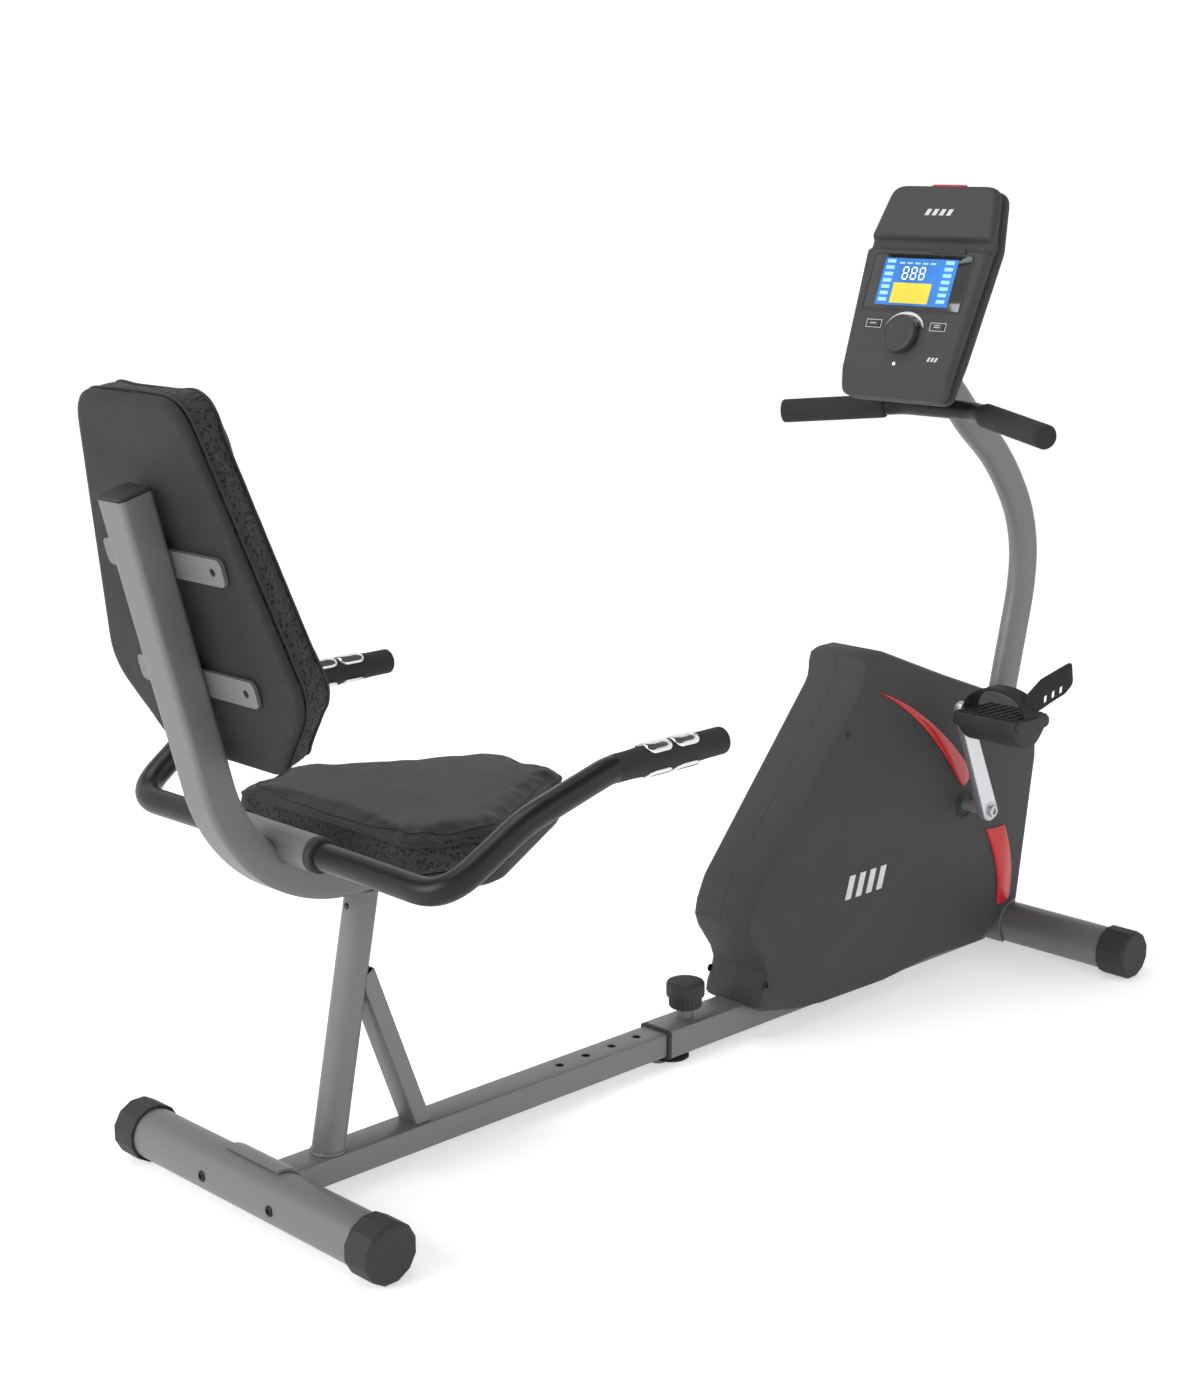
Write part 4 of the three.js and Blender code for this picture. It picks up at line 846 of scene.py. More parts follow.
def screw(origin: Array, axis: Array, radius: float, depth: float = 2.6) -> Form:
    """Returns a domed cap screw with a six-sided socket."""
    head = [(radius, 0), (radius, depth * 0.5), (radius * 0.8, depth * 0.9), (radius * 0.48, depth),
            (radius * 0.46, depth * 0.35), (0.02, depth * 0.35)]

    def socket(angle: Array, index: Array) -> Array:
        """Makes the socket's rings six-sided."""
        hexed = np.cos(np.pi / 6) / np.cos((angle % (np.pi / 3)) - np.pi / 6)
        return np.where(index >= 4, hexed, 1.0)

    return turned(head, origin, axis, 24, socket)


def plates(rectangles: Sequence[Sequence[float]], low: float, high: float, axes: Axes) -> Form:
    """Returns thin plates, each given by its u and v limits and an optional slant of its top."""
    made = []
    for u0, u1, v0, v1, *slant in rectangles:
        lean = slant[0] if slant else 0.0
        loop = np.array([[u0, v0], [u1, v0], [u1 + lean, v1], [u0 + lean, v1]], float)
        rings = [np.column_stack([loop, np.full(4, height)]) for height in (low, high)]
        made.append(loft(axes.map(np.array(rings))))
    return together(made)


def bead(path: Array, radius: float) -> Form:
    """Returns a weld bead along a closed path: a tube whose radius ripples along its run."""
    tangent = np.roll(path, -1, 0) - np.roll(path, 1, 0)
    tangent /= np.linalg.norm(tangent, axis=1, keepdims=True)
    outward = path - path.mean(0)
    first = outward - (outward * tangent).sum(1, keepdims=True) * tangent
    first /= np.linalg.norm(first, axis=1, keepdims=True)
    second = np.cross(tangent, first)
    size = radius * (1 + 0.14 * np.sin(np.arange(len(path)) * 1.9))[:, None, None]
    ring = circle(1.0, 8)
    rings = path[:, None] + size * (ring[None, :, :1] * first[:, None] + ring[None, :, 1:] * second[:, None])
    return loft(rings, wrap=True)


# ---------------------------------------------------------------- sub-assemblies
@dataclass
class Stabiliser:
    """A round cross tube with a twelve-sided cap on each end and a saddle plate in its middle."""

    prefix: str
    body: str
    bolts: tuple = ()
    cap_rounding: float = 1.6

    def build(self) -> None:
        """Makes the tube, caps, saddle and bolts."""
        node = f"{self.prefix}_stabiliser_tube"
        low, high = layout(node)
        axis = (low + high) / 2
        radius, half = (high[2] - low[2]) / 2, high[1]
        lengths = np.linspace(-half, half, 9)
        profile = [(0.02, -half), *[(radius, y) for y in lengths], (0.02, half)]
        tube = turned(profile, axis * np.array([1, 0, 1]), Y_AXIS, 72)
        finished(f"{node}_shape", tube, PAINT.material(), self.body, [node], 60)
        for side in SIDES:
            refined(f"{self.prefix}_cap_{side}", CAP.material(), self.cap_rounding)
        refined(f"{self.prefix}_saddle", PAINT.material(), 0.8, 35)
        heads = [
            screw(axis + np.array([-radius + 0.8, y, 0]), -X_AXIS, 6.5) for y in self.bolts
        ]
        if heads:
            finished(f"{self.prefix}_bolts", together(heads), DARK_BOLT.material(), self.body)


@dataclass
class Runner:
    """The perforated beam, the sleeve that it slides in, the pull pin and the levelling foot."""

    grip_flutes: int = 22
    pin_radius: float = 4.6

    def build(self) -> None:
        """Makes the five pieces."""
        for node, rounding in (("slide_beam", 1.2), ("sleeve_tube", 1.2)):
            refined(node, PAINT.material(), rounding)
        refined("sleeve_ring", CAP.material(), 1.0)
        self.knob()
        self.foot()

    def knob(self) -> None:
        """Makes the pull knob: a smooth cap over a narrower fluted grip."""
        low, high = layout("pull_knob")
        axis = np.array([(low[0] + high[0]) / 2, 0.0, 0.0])
        radius, top = (high[0] - low[0]) / 2, high[2]
        foot = top - 37
        profile = [(0.02, low[2]), (self.pin_radius, low[2]), (self.pin_radius, foot),
                   (radius * 0.62, foot), (radius * 0.78, foot + 2), (radius * 0.84, foot + 5),
                   (radius * 0.84, foot + 14), (radius * 0.88, foot + 16), (radius * 0.97, foot + 17),
                   (radius, foot + 18.5), (radius, top - 5), (radius * 0.985, top - 3),
                   (radius * 0.94, top - 1.2), (radius * 0.86, top - 0.2), (radius * 0.55, top),
                   (0.02, top)]

        def flutes(angle: Array, index: Array) -> Array:
            """Ripples the grip below the cap."""
            ripple = 1 + 0.035 * np.cos(self.grip_flutes * angle)
            return np.where((index >= 4) & (index <= 7), ripple, 1.0)

        knob = turned(profile, axis, Z_AXIS, 132, flutes)
        finished("pull_knob_shape", knob, CAP.material(), "pull_pin", ["pull_knob"])

    def foot(self) -> None:
        """Makes the levelling foot: a rubber-edged disc on a threaded stem."""
        low, high = layout("levelling_foot")
        axis = np.array([(low[0] + high[0]) / 2, 0.0, 0.0])
        radius = (high[0] - low[0]) / 2
        profile = [(0.02, 0), (radius - 1.5, 0), (radius, 1), (radius, 3), (radius - 1.5, 4.2),
                   (radius - 7, 5), (8, 5.2), (8, high[2]), (0.02, high[2])]
        foot = turned(profile, axis, Z_AXIS, 64)
        finished("levelling_foot_shape", foot, RUBBER.material(), "foot", ["levelling_foot"])


@dataclass
class SeatFrame:
    """The post, brace and bent spine that carry the seat and backrest."""

    lean: float = math.radians(15.2)
    bend: float = 180.0
    bend_x: float = 130.0
    rail_z: float = 363.0
    rail_end: float = 300.0
    straight: float = 328.0
    width: float = 44.0
    depth: float = 40.0
    post_radius: float = 19.0
    post_foot: float = 99.0
    post_lean: float = 0.193
    beam_top: float = 44.0
    body: str = "seat_carriage"
    foot: Array = field(init=False)
    up: Array = field(init=False)

    def __post_init__(self) -> None:
        """Works out where the straight part of the spine starts, and its direction."""
        cosine, sine = math.cos(self.lean), math.sin(self.lean)
        middle_z = self.rail_z + self.bend
        self.foot = np.array([self.bend_x - self.bend * cosine, 0.0, middle_z - self.bend * sine])
        self.up = np.array([-sine, 0.0, cosine])

    def back_axes(self) -> Axes:
        """Returns axes with u to the left, v up the spine and w towards the rider's back."""
        forward = (math.cos(self.lean), 0.0, math.sin(self.lean))
        return Axes(tuple(self.foot), (0, 1, 0), tuple(self.up), forward)

    def path(self) -> Array:
        """Returns the spine's centreline: a straight, an arc and a level run."""
        angle = np.linspace(self.lean, math.pi / 2, 40)
        centre = np.array([self.bend_x, 0.0, self.rail_z + self.bend])
        arc = centre - self.bend * np.stack([np.cos(angle), 0 * angle, np.sin(angle)], 1)
        top = straight(self.foot + self.up * self.straight, self.foot, 20)[:-1]
        return np.vstack([top, arc, straight(arc[-1], (self.rail_end, 0, self.rail_z), 8)[1:]])

    def build(self) -> None:
        """Makes the spine, its end plug, the post with its weld, the brace and the brackets."""
        section = respaced(rounded_rectangle(self.depth, self.width, 5.0), 64)
        bar = loft(carried(self.path(), section, Y_AXIS))
        low, high = layout("handlebar_sleeve")
        sleeve_at = (low + high) / 2
        notch_radius = (high[2] - low[2]) / 2 + 0.4
        notch = turned([(0.02, -60), (notch_radius, -60), (notch_radius, 60), (0.02, 60)], sleeve_at, Y_AXIS)
        finished("back_spine_shape", cut(bar, [notch]), PAINT.material(), self.body,
                 ["back_spine"])
        axes = self.back_axes()
        top = Axes(tuple(self.foot + self.up * (self.straight + 0.2)), axes.w, axes.u, axes.v)
        plug = slab(respaced(rounded_rectangle(self.depth, self.width, 5.0), 64), eased(0, 4, 2), top)
        finished("spine_end_plug", plug, CAP.material(), self.body)
        self.post()
        refined("seat_brace", PAINT.material(), 1.0, 30)
        for level in ("upper", "lower"):
            refined(f"back_bracket_{level}", PAINT.material(), 0.9, 30)

    def post(self) -> None:
        """Makes the post: ellipses along its lean, so that both ends lie level, and its weld."""
        heights = np.linspace(self.beam_top + 0.4, self.rail_z - self.depth / 2 - 0.4, 14)
        loop = circle(self.post_radius, 64) * np.array([math.hypot(1, self.post_lean), 1])
        across = self.post_foot + (heights - self.beam_top) * self.post_lean
        rings = np.stack([
            across[:, None] + loop[:, 0], np.ones((14, 1)) * loop[:, 1], heights[:, None] * np.ones(64)
        ], -1)
        finished("seat_post_shape", loft(rings), PAINT.material(), self.body, ["seat_post"])
        weld = bead(respaced(rings[0] + np.array([0, 0, 0.9]), 90), 2.0)
        upper = bead(respaced(rings[-1] - np.array([0, 0, 0.9]), 90), 2.0)
        finished("post_welds", weld + upper, PAINT.material(), self.body)
        height = heights[-1] - 18
        at = np.array([self.post_foot + (height - self.beam_top) * self.post_lean, 0, height])
        plug = screw(at + np.array([-self.post_radius + 0.4, 0, 0]), -X_AXIS, 4.0, 1.6)
        finished("post_plug", plug, DARK_BOLT.material(), self.body)


@dataclass
class Seat:
    """The seat cushion on its moulded pan."""

    rear: float = 90.0
    front: float = 426.0
    half_rear: float = 156.0
    half_wide: float = 196.0
    half_front: float = 62.0
    widest: float = 114.0
    pan_foot: float = 369.4
    pan_top: float = 399.4
    top: float = 446.0
    swell: float = 6.0
    body: str = "seat_carriage"

    def loop(self, inset: float, count: int = 240) -> Array:
        """Returns the seat's outline, moved in by an inset."""
        half = [(self.rear + inset, self.half_rear - inset, 38), (self.rear + self.widest,
                self.half_wide - inset, 60), (self.front - inset, self.half_front - inset / 2, 55)]
        return respaced(outline([*[(x, -y, r) for x, y, r in half], *half[::-1]], 14), count)

    def build(self) -> None:
        """Makes the pan, the cushion and its piping."""
        bowl = [(64, self.pan_foot), (44, self.pan_foot + 0.8), (26, self.pan_foot + 4),
                (15, self.pan_foot + 10), (10, self.pan_foot + 18), (8.5, self.pan_top)]
        pan = slab(self.loop(0), bowl, FROM_ABOVE)
        finished("seat_pan_shape", pan, BOARD.material(), self.body, ["seat_pan"], 60)
        foot = self.pan_top + 0.6
        rise = self.top - self.swell
        base = [(9, foot), (5.5, foot + 1.5), (4.5, foot + 8), (4.5, rise - 12), (6, rise - 5),
                (10, rise - 1.5), (18, rise)]
        padded = inflated(slab(self.loop(0), base, FROM_ABOVE), 5.5, 3.2, self.swell,
                          lambda points: points[:, 2] < foot + 1.2)
        look = Upholstery("seat_vinyl", (0, 0, 1), (self.top - 13) * MM, (1, 0, 0)).material()
        soft_piece("seat_cushion_soft", padded, look, self.body, "seat_cushion")
        seam = np.column_stack([self.loop(2), np.full(240, self.top - 12)])
        finished("seat_piping", piping(padded, seam, 1.7, 0.9), BOARD.material(), self.body)
        inner = np.column_stack([self.loop(17), np.full(240, self.top + 2)])
        finished("seat_stitch_line", piping(padded, inner, 0.8, 0.1), BOARD.material(), self.body)


@dataclass
class Backrest:
    """The backrest cushion, with its mesh side band, on a moulded rear shell."""

    axes: Axes
    foot: float = 14.0
    height: float = 412.0
    half_top: float = 92.0
    half_wide: float = 173.0
    half_foot: float = 96.0
    widest: float = 92.0
    shell_at: float = 25.9
    shell_depth: float = 8.0
    thickness: float = 49.0
    swell: float = 6.0
    body: str = "seat_carriage"

    def loop(self, inset: float, count: int = 240) -> Array:
        """Returns the outline across and up the back, moved in by an inset."""
        half = [(self.half_foot - inset / 2, self.foot + inset, 30),
                (self.half_wide - inset, self.foot + self.widest, 62),
                (self.half_top - inset, self.foot + self.height - inset, 42)]
        return respaced(outline([*half, *[(-y, z, r) for y, z, r in half[::-1]]], 14), count)

    def shell(self) -> Form:
        """Returns the rear shell: its outline shrunk in rings towards its middle, each point's
        depth set by a rounded rim and soft hollows between the brackets."""
        loop = self.loop(3)
        centre = np.array([0.0, self.foot + self.height * 0.45])
        scales = np.concatenate([1 - 0.06 * (1 - np.cos(np.linspace(0, np.pi / 2, 6))),
                                 np.linspace(0.92, 0.03, 22)])
        drop = np.concatenate([6.5 * (1 - np.sin(np.linspace(0, np.pi / 2, 6))), np.zeros(22)])
        places = centre + scales[:, None, None] * (loop - centre)
        u, v = places[..., 0], places[..., 1] - self.foot
        hollow = 3.2 * np.exp(-(((np.abs(u) - 60) / 42) ** 2) - ((v - 175) / 48) ** 2)
        hollow += 2.6 * np.exp(-((u / 60) ** 2) - ((v - 340) / 40) ** 2)
        hollow += 2.4 * np.exp(-((u / 80) ** 2) - ((v - 30) / 24) ** 2)
        hollow += 0.5 * np.sin(v / 5.5) * np.exp(-((v - 22) / 22) ** 2)
        depth = self.shell_at + drop[:, None] + np.maximum(hollow, 0)
        rear = np.dstack([places, depth])[::-1]
        front = np.column_stack([loop, np.full(len(loop), self.shell_at + self.shell_depth)])
        return loft(self.axes.map(np.concatenate([rear, front[None]])))

    def build(self) -> None:
        """Makes the shell, the cushion and its two lines of piping."""
        finished("back_shell", self.shell(), SHELL.material(), self.body, ["back_board"], 60)
        start = self.shell_at + self.shell_depth + 0.5
        end = start + self.thickness - self.swell
        base = [(6, start), (2.5, start + 1.5), (1.5, start + 9), (1.5, end - 14), (3.5, end - 6),
                (8, end - 1.5), (16, end)]
        origin, forward = np.array(self.axes.origin), np.array(self.axes.w)
        padded = inflated(slab(self.loop(1.5), base, self.axes), 5.5, 3.2, self.swell,
                          lambda points: (points - origin) @ forward < start + 1.2)
        level = float(in_metres(origin[None])[0] @ forward) + (end - 5) * MM
        look = Upholstery("back_vinyl", tuple(forward), level, self.axes.v).material()
        soft_piece("back_cushion_soft", padded, look, self.body, "back_cushion")
        for name, inset, depth in (("back_piping_rear", 1.0, start + 3), ("back_piping_front", 0.5, end - 4)):
            line = self.axes.map(np.column_stack([self.loop(inset), np.full(240, depth)]))
            finished(name, piping(padded, line, 1.7, 0.9), BOARD.material(), self.body)


@dataclass
class SeatHandlebar:
    """The U-shaped bar round the seat, its sleeve, foam grips and pulse plates."""

    radius: float = 15.0
    grip_half: float = 287.0
    grip_z: float = 514.0
    tip: float = 434.0
    grip_length: float = 168.0
    plate_from_tip: float = 46.0
    plate_length: float = 37.0
    plate_pitch: float = 42.0
    plate_width: float = 33.0
    body: str = "seat_carriage"

    def path(self) -> Array:
        """Returns the bar's centreline, from the right tip round to the left."""
        low, high = layout("handlebar_sleeve")
        at, half = (low + high) / 2, high[1]
        arm = [(self.tip, 1, self.grip_z), (self.tip - 175, 1, self.grip_z - 2)]

        def side(sign: int) -> list:
            """Returns one arm's corners."""
            outer = [(x, sign * self.grip_half, z) for x, _, z in arm]
            return [*outer, (at[0] + 100, sign * (self.grip_half - 2), self.grip_z - 34),
                    (at[0], sign * (self.grip_half - 16), at[2] - 2), (at[0], sign * (half + 60), at[2])]

        return bent([*side(-1), *side(1)[::-1]], [90, 110, 48, 30, 30, 48, 110, 90], 16)

    def swell(self, x: Array) -> Array:
        """Returns the grip's height factor: a smooth swelling under the pulse plates."""
        middle_x = self.tip - self.plate_from_tip - self.plate_pitch
        return 1 + 0.13 * np.exp(-(((x - middle_x) / 44) ** 4))

    def build(self) -> None:
        """Makes the bar, sleeve, bushes, grips and plates."""
        bar = rod(self.path(), self.radius, Z_AXIS, 2.0, 48)
        finished("seat_handlebar_shape", bar, BLACK.material(), self.body, ["seat_handlebar"])
        low, high = layout("handlebar_sleeve")
        at, half, outer = (low + high) / 2, high[1], (high[2] - low[2]) / 2
        tube = [(outer - 3, -half), (outer - 1, -half), (outer, -half + 1.2), (outer, -half + 20),
                (outer, half - 20), (outer, half - 1.2), (outer - 1, half), (outer - 3, half)]
        finished("handlebar_sleeve_shape", turned(tube, at, Y_AXIS), PAINT.material(), self.body,
                 ["handlebar_sleeve"])
        for side, sign in SIDES.items():
            start = sign * half
            rim = [(self.radius, start - sign), (outer - 0.6, start + sign * 0.3),
                   (outer - 0.2, start + sign * 1.5), (outer - 0.2, start + sign * 9),
                   (outer - 1.2, start + sign * 10.5), (self.radius, start + sign * 11)]
            finished(f"sleeve_bush_{side}", turned(rim, at * np.array([1, 0, 1]), Y_AXIS), CAP.material(),
                     self.body)
            self.grip(side, sign)

    def grip(self, side: str, sign: int) -> None:
        """Makes one foam grip, its end plug and its pulse plates."""
        y = sign * self.grip_half
        path = straight((self.tip - self.grip_length, y, self.grip_z - 1.9), (self.tip, y, self.grip_z), 60)
        stations, sizes = round_ends(path, self.radius + 0.5, 2.5)
        tall = sizes * self.swell(stations[:, 0])
        ring = circle(self.radius + 0.5, 56)
        foam = loft(carried(stations, ring, Z_AXIS, np.stack([sizes, tall], 1)))
        finished(f"seat_grip_{side}", foam, FOAM.material(), self.body)
        plug = turned([(0.02, -1), (11.5, -1), (11.5, 0.6), (10.5, 1.3), (0.02, 1.3)],
                      np.array([self.tip, y, self.grip_z]), X_AXIS, 40)
        finished(f"seat_grip_plug_{side}", plug, CAP.material(), self.body)
        for name, facing in (("pulse_plate", 1), ("pulse_plate_lower", -1)):
            parts = [self.plate(y, index, facing) for index in range(2)]
            stands_for = [f"pulse_sensor_{side}"] if facing > 0 else []
            finished(f"{name}_{side}", together(parts), BRIGHT.material(), self.body,
                     stands_for, 50)

    def plate(self, y: float, index: int, facing: int) -> Form:
        """Returns one pulse plate: a rounded rectangle in rings, wrapped round the grip by turning
        its width into an angle, and domed a little."""
        loop = respaced(rounded_rectangle(self.plate_length, self.plate_width, 9), 64)
        middle_x = self.tip - self.plate_from_tip - self.plate_length / 2 - index * self.plate_pitch
        inner = (self.radius + 0.5) * self.swell(np.array(middle_x)) - 0.6
        scales = np.array([0.05, 0.3, 0.6, 0.85, 0.95, 0.99, 1.0, 1.0])
        rise = np.array([2.6, 2.55, 2.4, 2.1, 1.7, 1.1, 0.4, -0.6])
        places = scales[:, None, None] * loop
        radius = inner + rise[:, None]
        angle = places[..., 1] / inner
        rings = np.stack([
            middle_x + places[..., 0],
            y + radius * np.sin(angle),
            self.grip_z - 0.8 + facing * radius * np.cos(angle),
        ], -1)
        return loft(rings)


@dataclass
class Mast:
    """The curved oval mast and the front handlebar."""

    depth: float = 47.0
    width: float = 30.0
    bar_radius: float = 13.0
    grip_radius: float = 16.5
    bar_half: float = 224.0
    bar_z: float = 784.0
    bar_rise: float = 16.0
    bar_sweep: float = 66.0
    bar_back: float = 221.0
    knee: float = 60.0
    grip_length: float = 150.0
    line: tuple = ((-57, 48), (-12, 241), (25, 403), (41, 467), (54, 526), (56, 582), (44, 630),
                   (15, 681), (-23, 726), (-83, 776), (-141, 830), (-211, 877))
    body: str = "front_frame"

    def build(self) -> None:
        """Makes the mast, the bar and its grips."""
        path = spline([(FRONT + ahead, 0, z) for ahead, z in self.line], 14)
        section = respaced(rounded_rectangle(self.depth, self.width, 14.5, 10), 72)
        finished("mast_shape", loft(carried(path, section, Y_AXIS)), PAINT.material(), self.body,
                 ["mast"], 60)
        x = FRONT - self.bar_back
        ends = [(x, -self.bar_half, self.bar_z), (x + self.bar_sweep, -self.knee, self.bar_z + self.bar_rise)]
        corners = [*ends, *[(a, -b, c) for a, b, c in ends[::-1]]]
        bar = bent(corners, [70, 70], 24)
        finished("front_handlebar_shape", rod(bar, self.bar_radius, Z_AXIS, 2), BLACK.material(), self.body,
                 ["front_handlebar"])
        for side, sign in SIDES.items():
            tip, toward = np.array(corners[-1 if sign > 0 else 0]), np.array(corners[-2 if sign > 0 else 1])
            along = (toward - tip) / np.linalg.norm(toward - tip)
            length = self.grip_length
            lengths = np.linspace(2, length - 3, 20)
            ribs = [(self.grip_radius, place) for place in lengths]
            profile = [(0.02, -1), (self.grip_radius - 4.5, -1), (self.grip_radius - 4, -0.2),
                       (self.grip_radius - 3, -0.2), (self.grip_radius - 0.9, 0.3), *ribs,
                       (self.grip_radius - 1, length), (self.bar_radius, length + 0.6)]
            finished(f"front_grip_{side}_shape", turned(profile, tip, along), FOAM.material(), self.body,
                     [f"front_grip_{side}"])


@dataclass
class Console:
    """The console: a face with a fold, a groove and a head, a rear shell, display and controls."""

    lean: float = math.radians(22)
    behind: float = 271.0
    foot_z: float = 826.0
    height: float = 297.0
    half_foot: float = 90.0
    half_wide: float = 104.0
    half_top: float = 88.0
    depth: float = 20.0
    fold: float = 34.0
    groove_at: float = 213.0
    window: tuple = (162.0, 78.0)
    window_at: float = 158.0
    lcd: tuple = (132.0, 66.0)
    dial_at: float = 84.0
    key_across: float = 54.0
    body: str = "front_frame"
    axes: Axes = field(init=False)

    def __post_init__(self) -> None:
        """Sets the axes: u to the rider's left, v up the panel and w ahead through it."""
        cosine, sine = math.cos(self.lean), math.sin(self.lean)
        origin = (FRONT - self.behind, 0, self.foot_z)
        self.axes = Axes(origin, (0, 1, 0), (sine, 0, cosine), (cosine, 0, -sine))

    def half_width(self, v: Array) -> Array:
        """Returns the panel's half width at heights up it, read off its rounded outline."""
        half = [(self.half_foot, 0, 14), (self.half_wide, self.height * 0.72, 40),
                (self.half_top, self.height, 24)]
        loop = outline([*half, *[(-u, z, r) for u, z, r in half[::-1]]], 24)
        right = loop[loop[:, 0] > 1]
        return np.interp(v, right[:, 1], right[:, 0])

    def relief(self, v: Array) -> Array:
        """Returns how far the face stands back along w at heights up it: a fold at the foot, a
        smooth groove under the head, and a rounded top."""
        fold = 13 * np.clip((self.fold - v) / self.fold, 0, 1) ** 1.15
        groove = 9.5 * np.exp(-(((v - self.groove_at) / 8.5) ** 4))
        head = 3.0 * np.clip((v - self.groove_at - 12) / 70, 0, 1)
        top = 7 * (1 - np.sqrt(np.clip(1 - np.clip((v - self.height + 9) / 9, 0, 1) ** 2, 0, 1)))
        return fold + groove + head + top

    def levels(self) -> Array:
        """Returns heights up the panel, closer together at its ends and groove."""
        ends = 12 * (1 - np.cos(np.linspace(0, np.pi / 2, 9)))
        groove = np.linspace(self.groove_at - 20, self.groove_at + 20, 26)
        middle_levels = np.linspace(14, self.height - 14, 60)
        return np.unique(np.concatenate([ends + 0.05, self.height - ends - 0.05, groove, middle_levels]))

    def shell(self, front: Callable[[Array], Array], back: Callable[[Array], Array], edge: float) -> Form:
        """Returns a shell: at each height a loop whose front and back are flat across and curve to
        meet its sides by a quarter ellipse of the given edge width."""
        v = self.levels()[:, None]
        half = self.half_width(v)
        angle = np.linspace(np.pi / 2, 0, 9)
        inner = np.linspace(-1, 1, 14)[None, 1:-1] * (half - edge)
        sides_u = (half - edge) + edge * np.cos(angle)
        near, far = front(v), back(v)
        middle_w = (near + far) / 2
        rise = np.sin(angle)
        front_edge = middle_w + (near - middle_w) * rise
        back_edge = middle_w + (far - middle_w) * rise
        u = np.hstack([-sides_u[:, ::-1], inner, sides_u, sides_u[:, ::-1], -inner, -sides_u])
        w = np.hstack([front_edge[:, ::-1], near + 0 * inner, front_edge, back_edge[:, ::-1],
                       far + 0 * inner, back_edge])
        rings = np.dstack([u, v + 0 * u, w])
        return loft(self.axes.map(rings))

    def part(self, name: str, form: Form, look: Finish, slot: str, replaces: Sequence[str] = ()) -> None:
        """Makes a piece of the console that stays with the front frame."""
        finished(name, form, look.material(), self.body, replaces, 40)

    def build(self) -> None:
        """Makes the shells, window, display, dial, keys and marks."""
        deep = self.depth
        self.part("console_face_shape", self.shell(self.relief, lambda v: deep + 0 * v, 9), HOUSING,
                  "housing_plastic", ["console_face"])
        self.part("console_rear_shape", self.shell(lambda v: deep + 0.4 + 0 * v,
                  lambda v: 2 * deep + 0.3 - 6 * np.clip((60 - v) / 60, 0, 1), 14), HOUSING,
                  "housing_plastic", ["console_rear"])
        refined("console_top_button", RED.material(), 1.2, 25)
        self.display()
        self.controls()
        marks = [(u, u + 7, 250, 262, -5) for u in (-22, -10, 2, 14)]
        self.part("head_mark", plates(marks, 1.2, 3.2, self.axes), PRINT, "print")
        small = [(u, u + 3.4, 50, 56, -2.4) for u in (-66, -60, -54)]
        self.part("panel_mark", plates(small, -0.35, 0.4, self.axes), PRINT, "print")

    def display(self) -> None:
        """Makes the window, its rim, and the lit display with its digits."""
        wide, high = self.window
        at = Axes(tuple(self.axes.map(np.array([[0, self.window_at, 0]]))[0]), self.axes.u, self.axes.v,
                  self.axes.w)
        pane = slab(respaced(rounded_rectangle(wide, high, 4), 120), eased(-0.5, 2.5, 0.5, 2)[::-1], at)
        self.part("console_window", pane, GLASS_BLACK, "lens", ["console_lens"])
        outer = respaced(rounded_rectangle(wide + 5, high + 5, 6), 120)
        inner = respaced(rounded_rectangle(wide + 0.6, high + 0.6, 4), 120)
        middle_loop = (inner + outer) / 2
        stations = ((inner, 1.0), (inner, -0.9), (middle_loop, -1.2), (outer, -0.6), (outer, 1.0))
        rim = np.stack([np.column_stack([loop, np.full(120, w)]) for loop, w in stations])
        self.part("window_rim", loft(at.map(rim), wrap=True), HOUSING, "housing_plastic")
        w2, h2 = self.lcd[0] / 2, self.lcd[1] / 2
        lit = plates([(-w2 + 6, w2 - 4, -h2, h2)], -0.75, -0.4, at)
        self.part("display_field", lit, LCD_BLUE, "lens")
        box = plates([(-26, 38, -h2 + 3, -1.5)], -0.95, -0.7, at)
        self.part("display_box", box, LCD_YELLOW, "lens")
        rows = [(u, u + wide_u, v, v + 5) for u, wide_u in ((44, 14), (-54, 14))
                for v in (-28, -19, -10, -1, 8, 17, 26)]
        rows += [(-24 + i * 13, -15 + i * 13, 25, 27.5) for i in range(5)]
        self.part("display_rows", plates(rows, -0.9, -0.7, at), LCD_PALE, "lens")
        self.part("display_digits", plates(self.digits(), -0.95, -0.7, at), LCD_WHITE, "lens")
        wedge = plates([(-68, -12, 41.5, 48.5, 3)], -1.3, 0.4, at)
        self.part("sensor_slot", wedge, GLASS_BLACK, "lens")

    def digits(self) -> list:
        """Returns the bars of three seven-bar digits, as plate limits."""
        bars = []
        for start in (-10, 4, 18):
            for v in (3, 11.2, 19.4):
                bars.append((start + 1.6, start + 8.4, v, v + 1.9))
            for v in (5.2, 13.4):
                bars.append((start, start + 1.8, v, v + 5.7))
                bars.append((start + 8.2, start + 10, v, v + 5.7))
        return bars

    def controls(self) -> None:
        """Makes the dial, its silver crescent, the two keys with their marks and a small lamp."""
        centre = self.axes.map(np.array([[0, self.dial_at, 0]]))[0]
        toward = -np.array(self.axes.w)
        profile = [(6, -8), (6, 0.8), (25.2, 0.8), (26, 1.6), (26, 9.5), (25.4, 11), (23.8, 11.9), (21.5, 12),
                   (20.5, 11.2), (19.5, 11), (0.02, 10.8)]

        def knurl(angle: Array, index: Array) -> Array:
            """Ripples the dial's rim."""
            return np.where((index >= 2) & (index <= 5), 1 + 0.008 * np.cos(44 * angle), 1.0)

